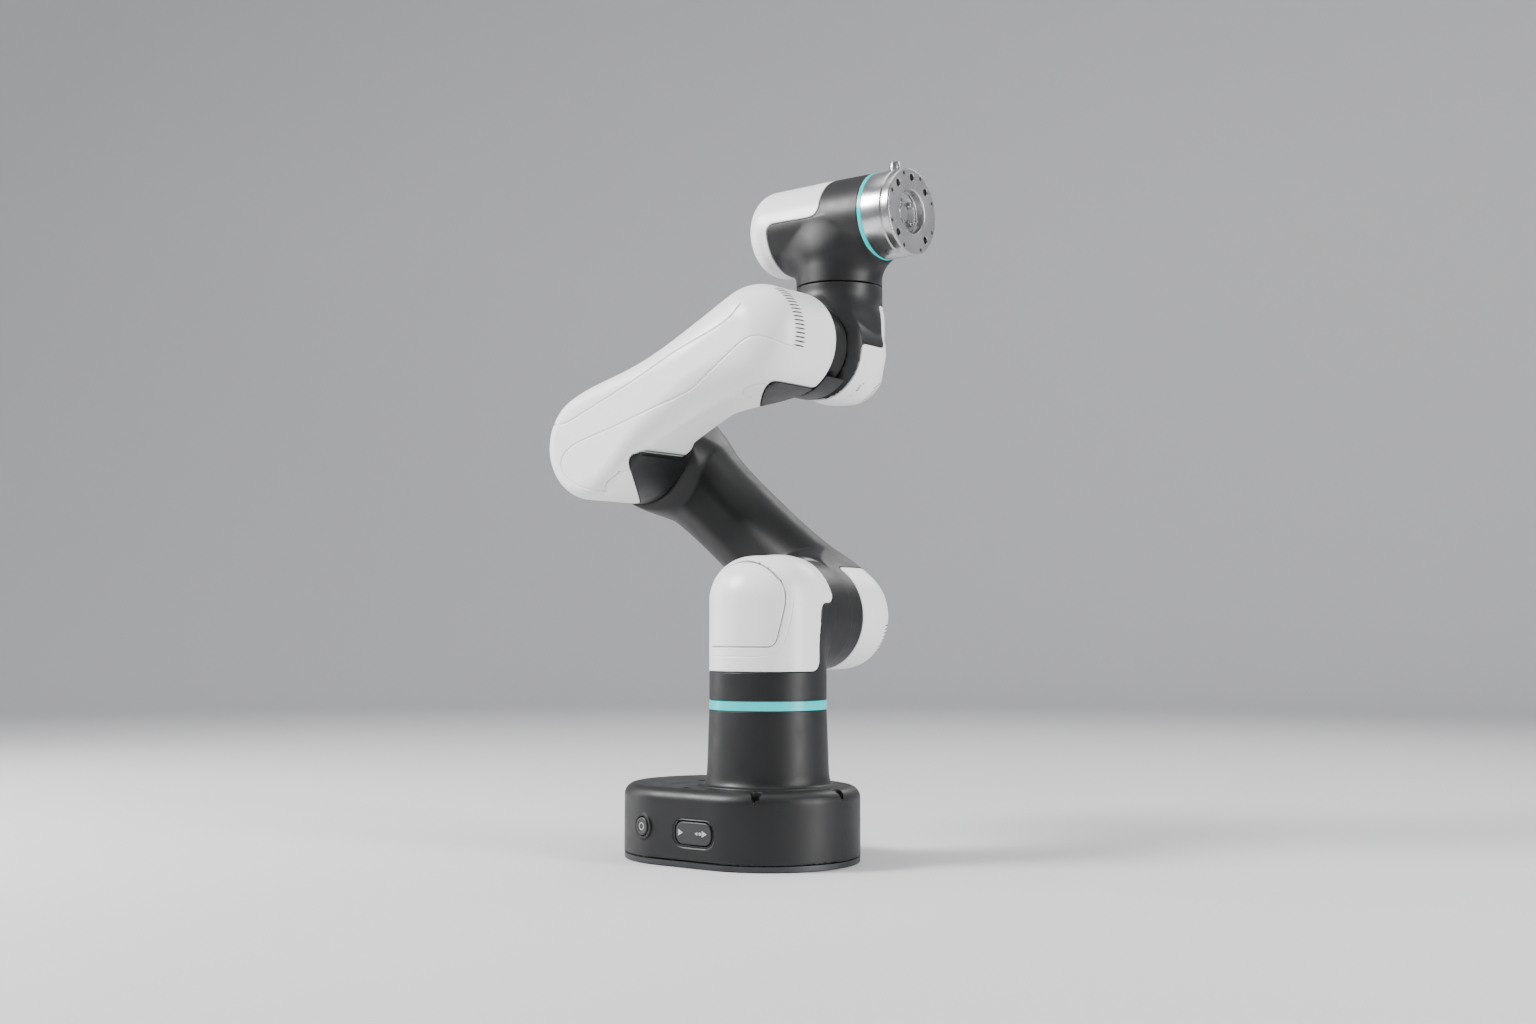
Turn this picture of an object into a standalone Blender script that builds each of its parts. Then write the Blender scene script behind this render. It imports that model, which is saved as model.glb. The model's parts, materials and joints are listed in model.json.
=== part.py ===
"""Six-axis desktop robot arm at rest, as separate pieces in metres with +Z up.

The origin is on the first joint's axis, at the underside of the base. +X is the way the tool flange
points, and +Y is the side of the shoulder that carries the upper arm. Lengths below are millimetres."""

import math

import bmesh
import bpy
from mathutils import Matrix, Vector

MM = 0.001
GAP = 0.3
ROUND_SEGMENTS = 24
SMALL_SEGMENTS = 12
SKIN = 2.6

# Link lengths and joint angles at rest.
SHOULDER_Z = 163.5
UPPER_ARM_LENGTH = 197.0
UPPER_ARM_LEAN = math.radians(50.8)
FOREARM_LENGTH = 155.0
FOREARM_LEAN = math.radians(64.0)
WRIST_Y = 103.5
FLANGE_Z = 453.2

UPPER_ALONG = Vector((-math.sin(UPPER_ARM_LEAN), 0, math.cos(UPPER_ARM_LEAN)))
FORE_ALONG = Vector((math.sin(FOREARM_LEAN), 0, math.cos(FOREARM_LEAN)))
J2 = Vector((0, 0, SHOULDER_Z))
J3 = J2 + UPPER_ARM_LENGTH * UPPER_ALONG
J4 = J3 + FOREARM_LENGTH * FORE_ALONG
J5 = Vector((J4.x, WRIST_Y, 404.7))
J6 = Vector((J4.x, WRIST_Y, FLANGE_Z))

# Base: a foot with two flat sides and two half-round ends, and a round column.
FOOT_REAR_X = -46.0
FOOT_HALF_WIDTH = 62.0
FOOT_TOP = 50.0
PANEL_X = -99.6
PANEL_HALF_WIDTH = 31.0
PLATE_TOP = 3.5
COLUMN_RADIUS = 39.6
RING_LOW, RING_HIGH = 101.0, 106.9
POCKET_ANGLES = (0, 60, 120, 180, 240, 300)
POCKET_CIRCLE = 53.0
BUTTON_TURN = 11.0
ROCKER_X, ROCKER_AXIS_Y, ROCKER_Z = -13.4, -59.0, 22.2
ROCKER_HALF_LENGTH, ROCKER_HALF_HEIGHT = 15.0, 7.3

# Faces across +Y and radii of the links.
SHOULDER_DRUM = 38.6
SHOULDER_CAP_DRUM = 40.4
SHOULDER_FAR_Y = 45.0
SHOULDER_TOP = 203.2
COVER_LOW_Z = 126.5
COVER_STEP_Z = 172.0
UPPER_NEAR_Y = 45.3
UPPER_CAP_Y = 59.8
UPPER_FAR_Y = 105.0
UPPER_MID_Y = 79.0
UPPER_DRUM = 37.4
ELBOW_DRUM = 39.5
CAP_REACH = 9.0
DOME_ROUND = 22.0
FORE_NEAR_Y = -21.0
FORE_MID_Y = 8.5
FORE_RIM_Y = 49.0
FORE_END_Y = 71.3
FORE_DRUM = 37.0
FORE_TUBE = 29.5
FORE_NECK = 29.6
FAIRING_DROP = 24.0
WRIST_NEAR_Y = 71.8
WRIST_CAP_Y = 79.8
WRIST_FAR_Y = 125.0
WRIST_DRUM = 36.8
WRIST_TUBE = 31.7
WRIST_BACK_X = -79.0
WRIST_FRONT_X = 24.0
TOOL_NEAR_X, TOOL_FACE_X = 27.5, 50.9
TOOL_RADIUS = 31.5
TOOL_RECESS = 15.75
RECESS_X = 43.5
BOLT_CIRCLE = 25.0
COVER_SCREW_CIRCLE = 28.2


def clear_scene():
    for obj in list(bpy.data.objects):
        bpy.data.objects.remove(obj, do_unlink=True)


def material(name, colour, metallic, roughness, glow=0.0):
    made = bpy.data.materials.new(name)
    made.use_nodes = True
    shader = made.node_tree.nodes["Principled BSDF"]
    shader.inputs["Base Color"].default_value = (*colour, 1)
    shader.inputs["Metallic"].default_value = metallic
    shader.inputs["Roughness"].default_value = roughness
    if glow:
        shader.inputs["Emission Color"].default_value = (*colour, 1)
        shader.inputs["Emission Strength"].default_value = glow
    made.diffuse_color = (*colour, 1)
    return made


def place(axis, a, b, height):
    """A point given across and along the axis."""
    return {"X": (height, a, b), "Y": (a, height, b), "Z": (a, b, height)}[axis]


def shape_of(bm):
    """A temporary object holding the mesh, with its faces outward."""
    bmesh.ops.recalc_face_normals(bm, faces=bm.faces)
    mesh = bpy.data.meshes.new("shape")
    bm.to_mesh(mesh)
    bm.free()
    obj = bpy.data.objects.new("shape", mesh)
    bpy.context.scene.collection.objects.link(obj)
    return obj


def rounded(points, steps=3):
    """The points (a, b, radius) of a line, with an arc at each corner that has a radius."""
    line = []
    for index, (a, b, radius) in enumerate(points):
        corner = Vector((a, b))
        if not radius:
            line.append((a, b))
            continue
        before = (Vector(points[index - 1][:2]) - corner).normalized()
        after = (Vector(points[(index + 1) % len(points)][:2]) - corner).normalized()
        half = before.angle(after) / 2
        reach = radius / math.tan(half)
        middle = corner + (before + after).normalized() * radius / math.sin(half)
        start = (corner + before * reach - middle).normalized()
        end = (corner + after * reach - middle).normalized()
        for step in range(steps + 1):
            line.append(tuple(middle + radius * start.slerp(end, step / steps).normalized()))
    return line


def lathe(profile, axis="Z", centre=(0, 0, 0), segments=ROUND_SEGMENTS, closed=False):
    """Turns the profile of (radius, height) points round the axis through the centre."""
    bm = bmesh.new()
    rows = []
    for radius, height in profile:
        count = segments if radius > 1e-6 else 1
        turns = [2 * math.pi * i / segments for i in range(count)]
        points = [place(axis, radius * math.cos(t), radius * math.sin(t), height) for t in turns]
        rows.append([bm.verts.new(Vector(point) + Vector(centre)) for point in points])
    for lower, upper in zip(rows, rows[1:] + rows[:1] if closed else rows[1:]):
        for i in range(segments):
            j = (i + 1) % segments
            corners = [(lower, i), (lower, j), (upper, j), (upper, i)]
            unique = list(dict.fromkeys(row[turn % len(row)] for row, turn in corners))
            if len(unique) > 2:
                bm.faces.new(unique)
    for row in () if closed else (rows[0], rows[-1]):
        if len(row) > 1:
            bm.faces.new(row)
    return shape_of(bm)


def drum(radius, low, high, low_round=0.0, high_round=0.0, **options):
    """A closed cylinder between two heights, with rounded edges."""
    profile = rounded([(0, low, 0), (radius, low, low_round), (radius, high, high_round), (0, high, 0)])
    return lathe(profile[1:-1], **options)


def ring(outer, inner, low, high, **options):
    return lathe([(inner, low), (outer, low), (outer, high), (inner, high)], closed=True, **options)


def prism(outline, axis, low, high):
    bm = bmesh.new()
    rows = [[bm.verts.new(place(axis, a, b, height)) for a, b in outline] for height in (low, high)]
    for i in range(len(outline)):
        j = (i + 1) % len(outline)
        bm.faces.new((rows[0][i], rows[0][j], rows[1][j], rows[1][i]))
    bm.faces.new(rows[0])
    bm.faces.new(rows[1])
    return shape_of(bm)


def box(low, high):
    corners = [(low[0], low[1]), (high[0], low[1]), (high[0], high[1]), (low[0], high[1])]
    return prism(corners, "Z", low[2], high[2])


def slab(start, along, low, high, near_y, far_y, half=70.0):
    """A block across the arm's plane, between two distances along a direction from a joint."""
    across = Vector((along.z, 0, -along.x))
    ends = [(low, -half), (high, -half), (high, half), (low, half)]
    points = [start + along * length + across * side for length, side in ends]
    return prism([(point.x, point.z) for point in points], "Y", near_y, far_y)


def rod(start, along, profile, across=(0, 1, 0), squeeze=1.0, segments=ROUND_SEGMENTS):
    """A lathe round a slanted axis, squeezed in the given direction across it."""
    made = lathe(profile, segments=segments)
    along, across = Vector(along).normalized(), Vector(across)
    turn = Matrix((across.cross(along), across, along)).transposed().to_4x4()
    made.data.transform(Matrix.Translation(start) @ turn @ Matrix.Diagonal((1, squeeze, 1, 1)))
    return made


def foot_plan(levels, steps=18):
    """The foot's plan, a half round at each end of two flat sides, stacked at (inset, z) levels."""
    bm = bmesh.new()
    rows = []
    for inset, z in levels:
        row = []
        for centre_x, start in ((0, -math.pi / 2), (FOOT_REAR_X, math.pi / 2)):
            for step in range(steps + 1):
                turn = start + math.pi * step / steps
                reach = FOOT_HALF_WIDTH - inset
                row.append(bm.verts.new((centre_x + reach * math.cos(turn), reach * math.sin(turn), z)))
        rows.append(row)
    for lower, upper in zip(rows, rows[1:]):
        for i in range(len(lower)):
            j = (i + 1) % len(lower)
            bm.faces.new((lower[i], lower[j], upper[j], upper[i]))
    bm.faces.new(rows[0])
    bm.faces.new(rows[-1])
    return shape_of(bm)


def copy(obj):
    made = obj.copy()
    made.data = obj.data.copy()
    bpy.context.scene.collection.objects.link(made)
    return made


def combine(target, others, operation):
    """Applies Booleans to the target one by one, using up the other shapes. The MANIFOLD solver is used
    because EXACT leaves open edges where round bodies cross on a plane of symmetry that they share."""
    for other in others:
        modifier = target.modifiers.new("step", "BOOLEAN")
        modifier.object = other
        modifier.operation = operation
        modifier.solver = "MANIFOLD"
        bpy.context.view_layer.update()
        graph = bpy.context.evaluated_depsgraph_get()
        mesh = bpy.data.meshes.new_from_object(target.evaluated_get(graph))
        target.modifiers.clear()
        target.data = mesh
        bpy.data.objects.remove(other, do_unlink=True)
    return target


def union(target, *others):
    return combine(target, others, "UNION")


def cut(target, *others):
    return combine(target, others, "DIFFERENCE")


def common(target, *others):
    return combine(target, others, "INTERSECT")


def split(outer, core, region, core_shrunk, region_grown):
    """The outer solid parted into a skin over the core within a region, and the rest."""
    skin = cut(common(copy(outer), region), core)
    rest = cut(outer, cut(region_grown, core_shrunk))
    return skin, rest


def finish(name, obj, look, joint):
    """Names a piece, scales it to metres, and puts its origin on its joint."""
    origin = joint.matrix_world.translation
    obj.data.transform(Matrix.Translation(-origin) @ Matrix.Scale(MM, 4))
    obj.name = obj.data.name = name
    obj.data.materials.clear()
    obj.data.materials.append(look)
    obj.data.polygons.foreach_set("material_index", [0] * len(obj.data.polygons))
    obj.data.shade_smooth()
    obj.data.set_sharp_from_angle(angle=math.radians(30))
    obj.parent = joint
    return obj


def add_joint(name, point, parent):
    empty = bpy.data.objects.new(name, None)
    bpy.context.scene.collection.objects.link(empty)
    empty.empty_display_size = 0.02
    empty.parent = parent
    empty.location = Vector(point) * MM - (parent.matrix_world.translation if parent else Vector())
    bpy.context.view_layer.update()
    return empty


def add_drive(number, joint, child, axis, centre, radius, motor, gear, hub):
    """A hollow-shaft motor and a strain-wave gear in the parent, and the output hub in the child."""
    options = {"axis": axis, "centre": centre, "segments": 16}
    low, high = motor
    waist = radius - 2.5
    body = [(8, low), (radius, low), (radius, low + 7), (waist, low + 8), (waist, high - 1), (8, high - 1)]
    finish(f"j{number}_motor", lathe(body, closed=True, **options), steel, joint)
    low, high = gear
    body = [(9, low), (radius, low), (radius, high - 4), (radius - 4, high), (9, high)]
    finish(f"j{number}_strain_wave_gear", lathe(body, closed=True, **options), bright_steel, joint)
    low, high, hub_radius = hub
    body = [(10, low), (hub_radius, low), (hub_radius, high), (10, high)]
    finish(f"j{number}_output_hub", lathe(body, closed=True, **options), bright_steel, child)


clear_scene()
charcoal = material("satin charcoal paint", (0.045, 0.046, 0.05), 0.2, 0.42)
white = material("satin white shell", (0.82, 0.82, 0.82), 0.0, 0.35)
silver = material("turned aluminium", (0.66, 0.67, 0.68), 1.0, 0.28)
steel = material("dark motor steel", (0.2, 0.2, 0.21), 1.0, 0.45)
bright_steel = material("bright steel", (0.55, 0.55, 0.56), 1.0, 0.3)
plate_steel = material("zinc plate", (0.4, 0.41, 0.42), 1.0, 0.4)
black = material("black plastic", (0.02, 0.02, 0.022), 0.0, 0.5)
green = material("circuit board green", (0.02, 0.16, 0.07), 0.0, 0.4)
cyan = material("cyan light", (0.1, 0.9, 0.95), 0.0, 0.3, glow=2.0)

base = add_joint("base_frame", (0, 0, 0), None)
joint_1 = add_joint("joint_1", (0, 0, RING_HIGH), base)
joint_2 = add_joint("joint_2", J2, joint_1)
joint_3 = add_joint("joint_3", J3, joint_2)
joint_4 = add_joint("joint_4", J4, joint_3)
joint_5 = add_joint("joint_5", J5, joint_4)
joint_6 = add_joint("joint_6", J6, joint_5)
at_j2, at_j3, at_j4 = [{"axis": "Y", "centre": point} for point in (J2, J3, J4)]
at_j5 = {"axis": "Z", "centre": (J5.x, J5.y, 0)}
at_j6 = {"axis": "X", "centre": (0, J6.y, J6.z)}


def rear_round(degrees, z):
    """A point on the foot's rear half round, turned from its near side, and the outward direction there."""
    turn = math.radians(degrees)
    normal = Vector((-math.sin(turn), -math.cos(turn), 0))
    return Vector((FOOT_REAR_X, 0, z)) + FOOT_HALF_WIDTH * normal, normal


def build_base():
    # The foot, its round column, and the screw bosses under its top.
    side = [(60, PLATE_TOP + GAP, 0), (0, PLATE_TOP + GAP, 0), (0, FOOT_TOP, 8), (60, FOOT_TOP, 0)]
    foot = foot_plan(rounded(side)[1:-1])
    column = [(46.5, 47), (46.5, 51), (43.5, 51.3), (41.8, 54.5), (41, 60), (COLUMN_RADIUS, RING_LOW - GAP)]
    housing = union(foot, lathe([(0, 47), *column, (0, RING_LOW - GAP)]))
    housing = cut(housing, foot_plan([(3, 0), (3, 38), (6, 45)]), drum(34.2, 40, 97), drum(31, 96, 110))
    spots = [Vector((POCKET_CIRCLE, 0, 0)) @ Matrix.Rotation(math.radians(-a), 3, "Z") for a in POCKET_ANGLES]
    for spot in spots:
        housing = union(housing, drum(5.6, 38, 47.5, centre=spot, segments=SMALL_SEGMENTS))
    for spot in spots:
        housing = cut(housing, drum(3.4, 42.5, 60, centre=spot, segments=SMALL_SEGMENTS))

    # The round button in its raised bezel.
    point, normal = rear_round(BUTTON_TURN, 24.0)
    up = (0, 0, 1)
    bezel = rod(point, normal, [(0, -2), (8.8, -2), (8.8, 0.2), (8.2, 0.9), (0, 0.9)], across=up, segments=20)
    hole = rod(point, normal, [(0, -20), (6.4, -20), (6.4, 5), (0, 5)], across=up, segments=20)
    housing = cut(union(housing, bezel), hole)
    cap = [(0, -6), (6, -6), (6, 1.1), (5.4, 1.7), (0, 1.7)]
    button = add_joint("power_button_axis", point, base)
    finish("power_button", rod(point, normal, cap, across=up, segments=20), charcoal, button)

    # The two-way rocker in the near flat side.
    def pill(grow):
        wide, high = ROCKER_HALF_LENGTH + grow, ROCKER_HALF_HEIGHT + grow
        corners = ((-wide, -high), (wide, -high), (wide, high), (-wide, high))
        return rounded([(ROCKER_X + a, ROCKER_Z + b, 6) for a, b in corners])

    rocker = common(prism(pill(0), "Y", -90, -40), foot_plan([(-0.6, 5), (-0.6, 42)]))
    rocker = cut(rocker, foot_plan([(4, 0), (4, 45)]))
    housing = cut(housing, prism(pill(0.4), "Y", -90, -40))
    rocker_axis = add_joint("mode_rocker_axis", (ROCKER_X, ROCKER_AXIS_Y, ROCKER_Z), base)
    finish("mode_rocker", rocker, charcoal, rocker_axis)

    # The connector panel across the back.
    deep = PANEL_X + 2.5
    half = PANEL_HALF_WIDTH
    housing = cut(housing, box((-130, -half - 0.4, 9), (deep + 10, half + 0.4, 41)))
    panel = box((PANEL_X, -half, 9.4), (deep, half, 40.6))
    for name, y in {"power_inlet": -22.0, "emergency_stop_socket": -7.0}.items():
        outline = [(0, -88), (6, -88), (6, PANEL_X - 2.5), (4.6, PANEL_X - 2.5), (4.6, -92.5), (0, -92.5)]
        panel = cut(panel, drum(6.3, -110, -80, axis="X", centre=(0, y, 25), segments=20))
        finish(name, lathe(outline, axis="X", centre=(0, y, 25), segments=20), black, base)
    for name, y in {"lan_port_1": 7.6, "lan_port_2": 22.6}.items():
        shell = box((PANEL_X - 1.5, y - 7.0, 24), (-86.5, y + 7.0, 37))
        shell = cut(shell, box((-110, y - 5.6, 26), (-90, y + 5.6, 35)))
        panel = cut(panel, box((-110, y - 7.3, 23.7), (-80, y + 7.3, 37.3)))
        finish(name, shell, bright_steel, base)
    terminal = box((PANEL_X - 2.5, 4, 11.5), (-88.5, 28, 20))
    for slot in range(6):
        y = 6.2 + 3.75 * slot
        terminal = cut(terminal, box((-110, y - 1.1, 13.6), (PANEL_X + 4, y + 1.1, 17.8)))
    panel = cut(panel, box((-110, 3.7, 11.2), (-80, 28.3, 20.3)))
    finish("io_terminal", terminal, green, base)
    finish("rear_panel", panel, plate_steel, base)

    # The floor of the base with its four mounting holes, the electronics and the light ring.
    plate = foot_plan([(1.4, 0), (1.4, PLATE_TOP)])
    for x, y in ((-85, -38), (-85, 38), (34, -38), (34, 38)):
        plate = cut(plate, drum(3.3, -5, 10, centre=(x, y, 0), segments=SMALL_SEGMENTS))
    finish("base_plate", plate, plate_steel, base)
    board = box((-82, -40, 7), (-38, 40, 8.6))
    chips = ((-76, -62, -30, 6, 20), (-58, -44, 8, 32, 14), (-58, -48, -26, -10, 17))
    for low_x, high_x, low_y, high_y, top in chips:
        board = union(board, box((low_x, low_y, 8), (high_x, high_y, top)))
    finish("controller_board", board, green, base)
    finish("base_light_ring", ring(COLUMN_RADIUS, 31.3, RING_LOW, RING_HIGH), cyan, base)
    finish("base_housing", housing, charcoal, base)


def shoulder_body(shrink):
    """The upright column under a domed top and the drum across it, smaller by the given amount."""
    radius, top = COLUMN_RADIUS - shrink, SHOULDER_TOP - shrink
    low = RING_HIGH + GAP
    upright = rounded([(0, low, 0), (radius, low, 0), (radius, top, 30), (0, top, 0)], 5)
    return union(lathe(upright[1:-1]), drum(SHOULDER_CAP_DRUM - shrink, 0, 23, **at_j2))


def build_shoulder():
    outer = union(shoulder_body(0), drum(SHOULDER_DRUM, 10, SHOULDER_FAR_Y, 0, 1, **at_j2))

    def region(grow):
        low, step, lower_y, upper_y = COVER_LOW_Z - grow, COVER_STEP_Z - grow, 5.4 + grow, 22 + grow
        lower = [(-80, low, 0), (lower_y, low, 8), (lower_y, step, 6)]
        upper = [(upper_y, step, 6), (upper_y, 230, 0), (-80, 230, 0)]
        return prism(rounded(lower + upper), "X", -80, 80)

    skin, housing = split(outer, shoulder_body(SKIN), region(0), shoulder_body(SKIN + GAP), region(GAP))

    def panel_outline(grow):
        foot, wide = 27.6 + grow, 33.5 + grow
        low, shoulder, top = 142.9 - grow, 180.0, 197.0 + grow
        lower = [(-wide, shoulder, 8), (-foot, low, 4), (foot, low, 4), (wide, shoulder, 8)]
        return rounded(lower + [(wide - 9, top, 12), (-wide + 9, top, 12)])

    panel = common(copy(skin), prism(panel_outline(0), "Y", -80, 0))
    skin = cut(skin, prism(panel_outline(GAP), "Y", -80, 0))
    housing = cut(housing, drum(29.4, 90, 125), drum(33, 115, SHOULDER_Z), drum(33.4, -14, 60, **at_j2))
    finish("shoulder_housing", housing, charcoal, joint_1)
    finish("shoulder_cover", skin, white, joint_1)
    finish("shoulder_panel", panel, white, joint_1)


def dome(radius, shrink, centre):
    far = UPPER_FAR_Y - shrink
    return drum(radius - shrink, UPPER_NEAR_Y, far, 1.0, DOME_ROUND - shrink, axis="Y", centre=centre)


def build_upper_arm():
    start = J2 + Vector((0, UPPER_MID_Y, 0))
    length = UPPER_ARM_LENGTH
    tube = [(0, 5), (32.5, 5), (31.5, 60), (31.5, 140), (34, length - 5), (0, length - 5)]
    tube = rod(start, UPPER_ALONG, tube, squeeze=0.82)
    casting = union(dome(UPPER_DRUM, 0, J2), dome(ELBOW_DRUM, 0, J3), tube)
    shoulder_end = ("shoulder_end_cap", J2, UPPER_ALONG, UPPER_DRUM)
    elbow_end = ("elbow_end_cap", J3, -UPPER_ALONG, ELBOW_DRUM)
    for name, centre, along, radius in (shoulder_end, elbow_end):
        region = slab(centre, along, -70, CAP_REACH, UPPER_CAP_Y, 140)
        grown = slab(centre, along, -70, CAP_REACH + GAP, UPPER_CAP_Y - GAP, 140)
        cores = dome(radius, SKIN, centre), dome(radius, SKIN + GAP, centre)
        cap, casting = split(casting, cores[0], region, cores[1], grown)
        finish(name, cap, white, joint_2)
    hollow = rod(start, UPPER_ALONG, [(0, 8), (26, 8), (26, length), (0, length)], squeeze=0.82)
    casting = cut(casting, hollow, drum(31.3, 40, 92, **at_j3), drum(26.4, 40, 52.4, **at_j2))
    finish("upper_arm_casting", casting, charcoal, joint_2)


def forearm_body(shrink):
    elbow = drum(ELBOW_DRUM - shrink, FORE_NEAR_Y + shrink, UPPER_NEAR_Y - GAP, 12 - shrink / 2, 0.8, **at_j3)
    near, far_round = FORE_NEAR_Y + 4 + shrink, 0 if shrink else 4
    wrist = drum(FORE_DRUM - shrink, near, FORE_RIM_Y, 14 - shrink / 2, far_round, **at_j4)
    start = J3 + Vector((0, FORE_MID_Y, 0)) + 3 * FORE_ALONG.cross(Vector((0, -1, 0)))
    radius = FORE_TUBE - shrink
    tube = [(0, 0), (radius + 3, 0), (radius, 50), (radius, 110)]
    tube += [(radius + 2, FOREARM_LENGTH), (0, FOREARM_LENGTH)]
    return union(elbow, wrist, rod(start, FORE_ALONG, tube))


def build_forearm():
    def region(grow):
        step = J4.x - 60 - grow
        far, elbow_y = FORE_RIM_Y + 1, 37 + grow
        outline = [(-260, -60), (80, -60), (80, far), (step, far), (step, elbow_y), (-260, elbow_y)]
        below = box((J4.x - 12 + grow, -70, 190), (90, 70, J4.z - 32.5 - grow))
        return cut(prism(outline, "Z", 200, 460), below)

    skin, frame = split(forearm_body(0), forearm_body(SKIN), region(0), forearm_body(SKIN + GAP), region(GAP))
    fairing = drum(FORE_DRUM, 20, FORE_END_Y, 0, 1, **at_j4)
    fairing = common(fairing, box((-80, FORE_RIM_Y + GAP, 300), (60, 80, J4.z - FAIRING_DROP)))
    neck = drum(FORE_NECK, 20, FORE_END_Y, 0, 1, **at_j4)
    frame = union(frame, neck, fairing)
    start = J3 + Vector((0, FORE_MID_Y, 0))
    hollow = rod(start, FORE_ALONG, [(0, 0), (21, 0), (21, FOREARM_LENGTH), (0, FOREARM_LENGTH)])
    frame = cut(frame, hollow, drum(26.3, -8, 80, **at_j4), drum(26.4, 37.8, 60, **at_j3))
    finish("forearm_frame", frame, charcoal, joint_3)
    finish("forearm_cover", skin, white, joint_3)


def wrist_1_body(shrink):
    radius = WRIST_DRUM - shrink
    far = WRIST_FAR_Y - shrink
    near = WRIST_NEAR_Y
    outline = [(0, near, 0), (29.9, near, 0), (radius, WRIST_CAP_Y, 0)]
    outline += [(radius, far, DOME_ROUND - shrink), (0, far, 0)]
    across = lathe(rounded(outline)[1:-1], **at_j4)
    top, bottom = J5.z - GAP, J4.z - WRIST_DRUM + shrink
    upright = drum(WRIST_TUBE - shrink, bottom, top, 24 - shrink, 0, **at_j5)
    return union(across, upright)


def build_wrist_1():
    def region(grow):
        near, tall, step, top = WRIST_CAP_Y - grow, 109 - grow, J4.z + 1.7 + grow, 390 + grow
        far_side = [(near, 250, 0), (160, 250, 0), (160, top, 0)]
        near_side = [(tall, top, 2), (tall, step, 5), (near, step, 5)]
        return prism(rounded(far_side + near_side), "X", -80, 60)

    parts = wrist_1_body(0), wrist_1_body(SKIN), region(0), wrist_1_body(SKIN + GAP), region(GAP)
    cap, housing = split(*parts)
    hollow = drum(24, 84, 116, **at_j4), drum(27.4, 345, 420, **at_j5), drum(20.4, 60, 79, **at_j4)
    housing = cut(housing, *hollow)
    finish("wrist_1_housing", housing, charcoal, joint_4)
    finish("wrist_1_cap", cap, white, joint_4)


def wrist_2_body(shrink):
    radius = WRIST_TUBE - shrink
    across = drum(radius, WRIST_BACK_X + shrink, WRIST_FRONT_X, 16 - shrink, 0, **at_j6)
    return union(across, drum(radius, J5.z + GAP, J6.z, **at_j5))


def build_wrist_2():
    def region(grow):
        rear, front, low = -57 + grow, -10 + grow, J6.z - grow
        below = [(-120, 400, 0), (rear, 400, 0), (rear, low, 8), (front, low, 10)]
        return prism(rounded(below + [(front, 520, 0), (-120, 520, 0)]), "Y", 40, 160)

    parts = wrist_2_body(0), wrist_2_body(SKIN), region(0), wrist_2_body(SKIN + GAP), region(GAP)
    cap, housing = split(*parts)
    housing = cut(housing, drum(27.4, -62, 60, **at_j6), drum(20.4, 400, 412, **at_j5))
    finish("wrist_2_housing", housing, charcoal, joint_5)
    finish("wrist_2_cap", cap, white, joint_5)
    low, high = WRIST_FRONT_X + GAP, TOOL_NEAR_X - GAP
    finish("wrist_light_ring", ring(WRIST_TUBE, 24, low, high, **at_j6), cyan, joint_5)


def build_flange():
    face, near = TOOL_FACE_X, TOOL_NEAR_X
    back = [(0, near + 6), (20.4, near + 6), (20.4, near), (TOOL_RADIUS, near)]
    groove = [(TOOL_RADIUS, 44.2), (30.5, 44.8), (30.5, 46.2), (TOOL_RADIUS, 46.8)]
    edge = [(TOOL_RADIUS, face - 0.7), (TOOL_RADIUS - 0.7, face), (TOOL_RECESS, face)]
    recess = [(TOOL_RECESS, RECESS_X), (0, RECESS_X)]
    body = lathe(back + groove + edge + recess, segments=36, **at_j6)

    def on_face(circle, degrees):
        angle = math.radians(degrees)
        return (0, J6.y + circle * math.cos(angle), J6.z + circle * math.sin(angle))

    for degrees in (45, 135, 225, 315, 90):
        hole = drum(3.0, 40.5, 60, axis="X", centre=on_face(BOLT_CIRCLE, degrees), segments=SMALL_SEGMENTS)
        body = cut(body, hole)
    for step in range(8):
        hole = drum(1.3, 49.2, 60, axis="X", centre=on_face(COVER_SCREW_CIRCLE, 22.5 + 45 * step), segments=6)
        body = cut(body, hole)
    stem = {"axis": "Z", "centre": (36.0, J6.y, J6.z), "segments": SMALL_SEGMENTS}
    body = cut(body, drum(3.8, 27, 50, **stem))
    socket = lathe([(0, 27.5), (3.5, 27.5), (3.5, 38.6), (2.5, 38.6), (2.5, 34), (0, 34)], **stem)
    finish("tool_connector", socket, bright_steel, joint_6)
    for index in range(4):
        centre = on_face(9.5, 45 + 90 * index)
        low, high = RECESS_X + GAP, RECESS_X + 2.9
        head = [(0, low), (2.6, low), (2.6, high), (1.2, high), (1.2, high - 1.4), (0, high - 1.4)]
        screw = lathe(head, axis="X", centre=centre, segments=12)
        finish(f"recess_screw_{index + 1}", screw, bright_steel, joint_6)
    finish("flange_body", body, silver, joint_6)


build_base()
build_shoulder()
build_upper_arm()
build_forearm()
build_wrist_1()
build_wrist_2()
build_flange()
add_drive(1, base, joint_1, "Z", (0, 0, 0), 33.8, (50, 74), (75, 96.6), (107.5, 114.6, 29.0))
add_drive(2, joint_1, joint_2, "Y", J2, 32.8, (-13.6, 12), (13, 38), (45.7, 52, 26.0))
add_drive(3, joint_2, joint_3, "Y", J3, 30.9, (62, 91.6), (46.5, 61), (38.2, 44.9, 26.0))
add_drive(4, joint_3, joint_4, "Y", J4, 25.9, (-7.6, 35), (36, 68), (72.2, 75.8, 20.0))
add_drive(5, joint_4, joint_5, "Z", (J5.x, J5.y, 0), 27.0, (345.4, 374), (375, 402), (405.4, 411.6, 20.0))
add_drive(6, joint_5, joint_6, "X", (0, J6.y, J6.z), 27.0, (-61.6, -20), (-19, 22), (28.0, 33, 20.0))
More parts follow.
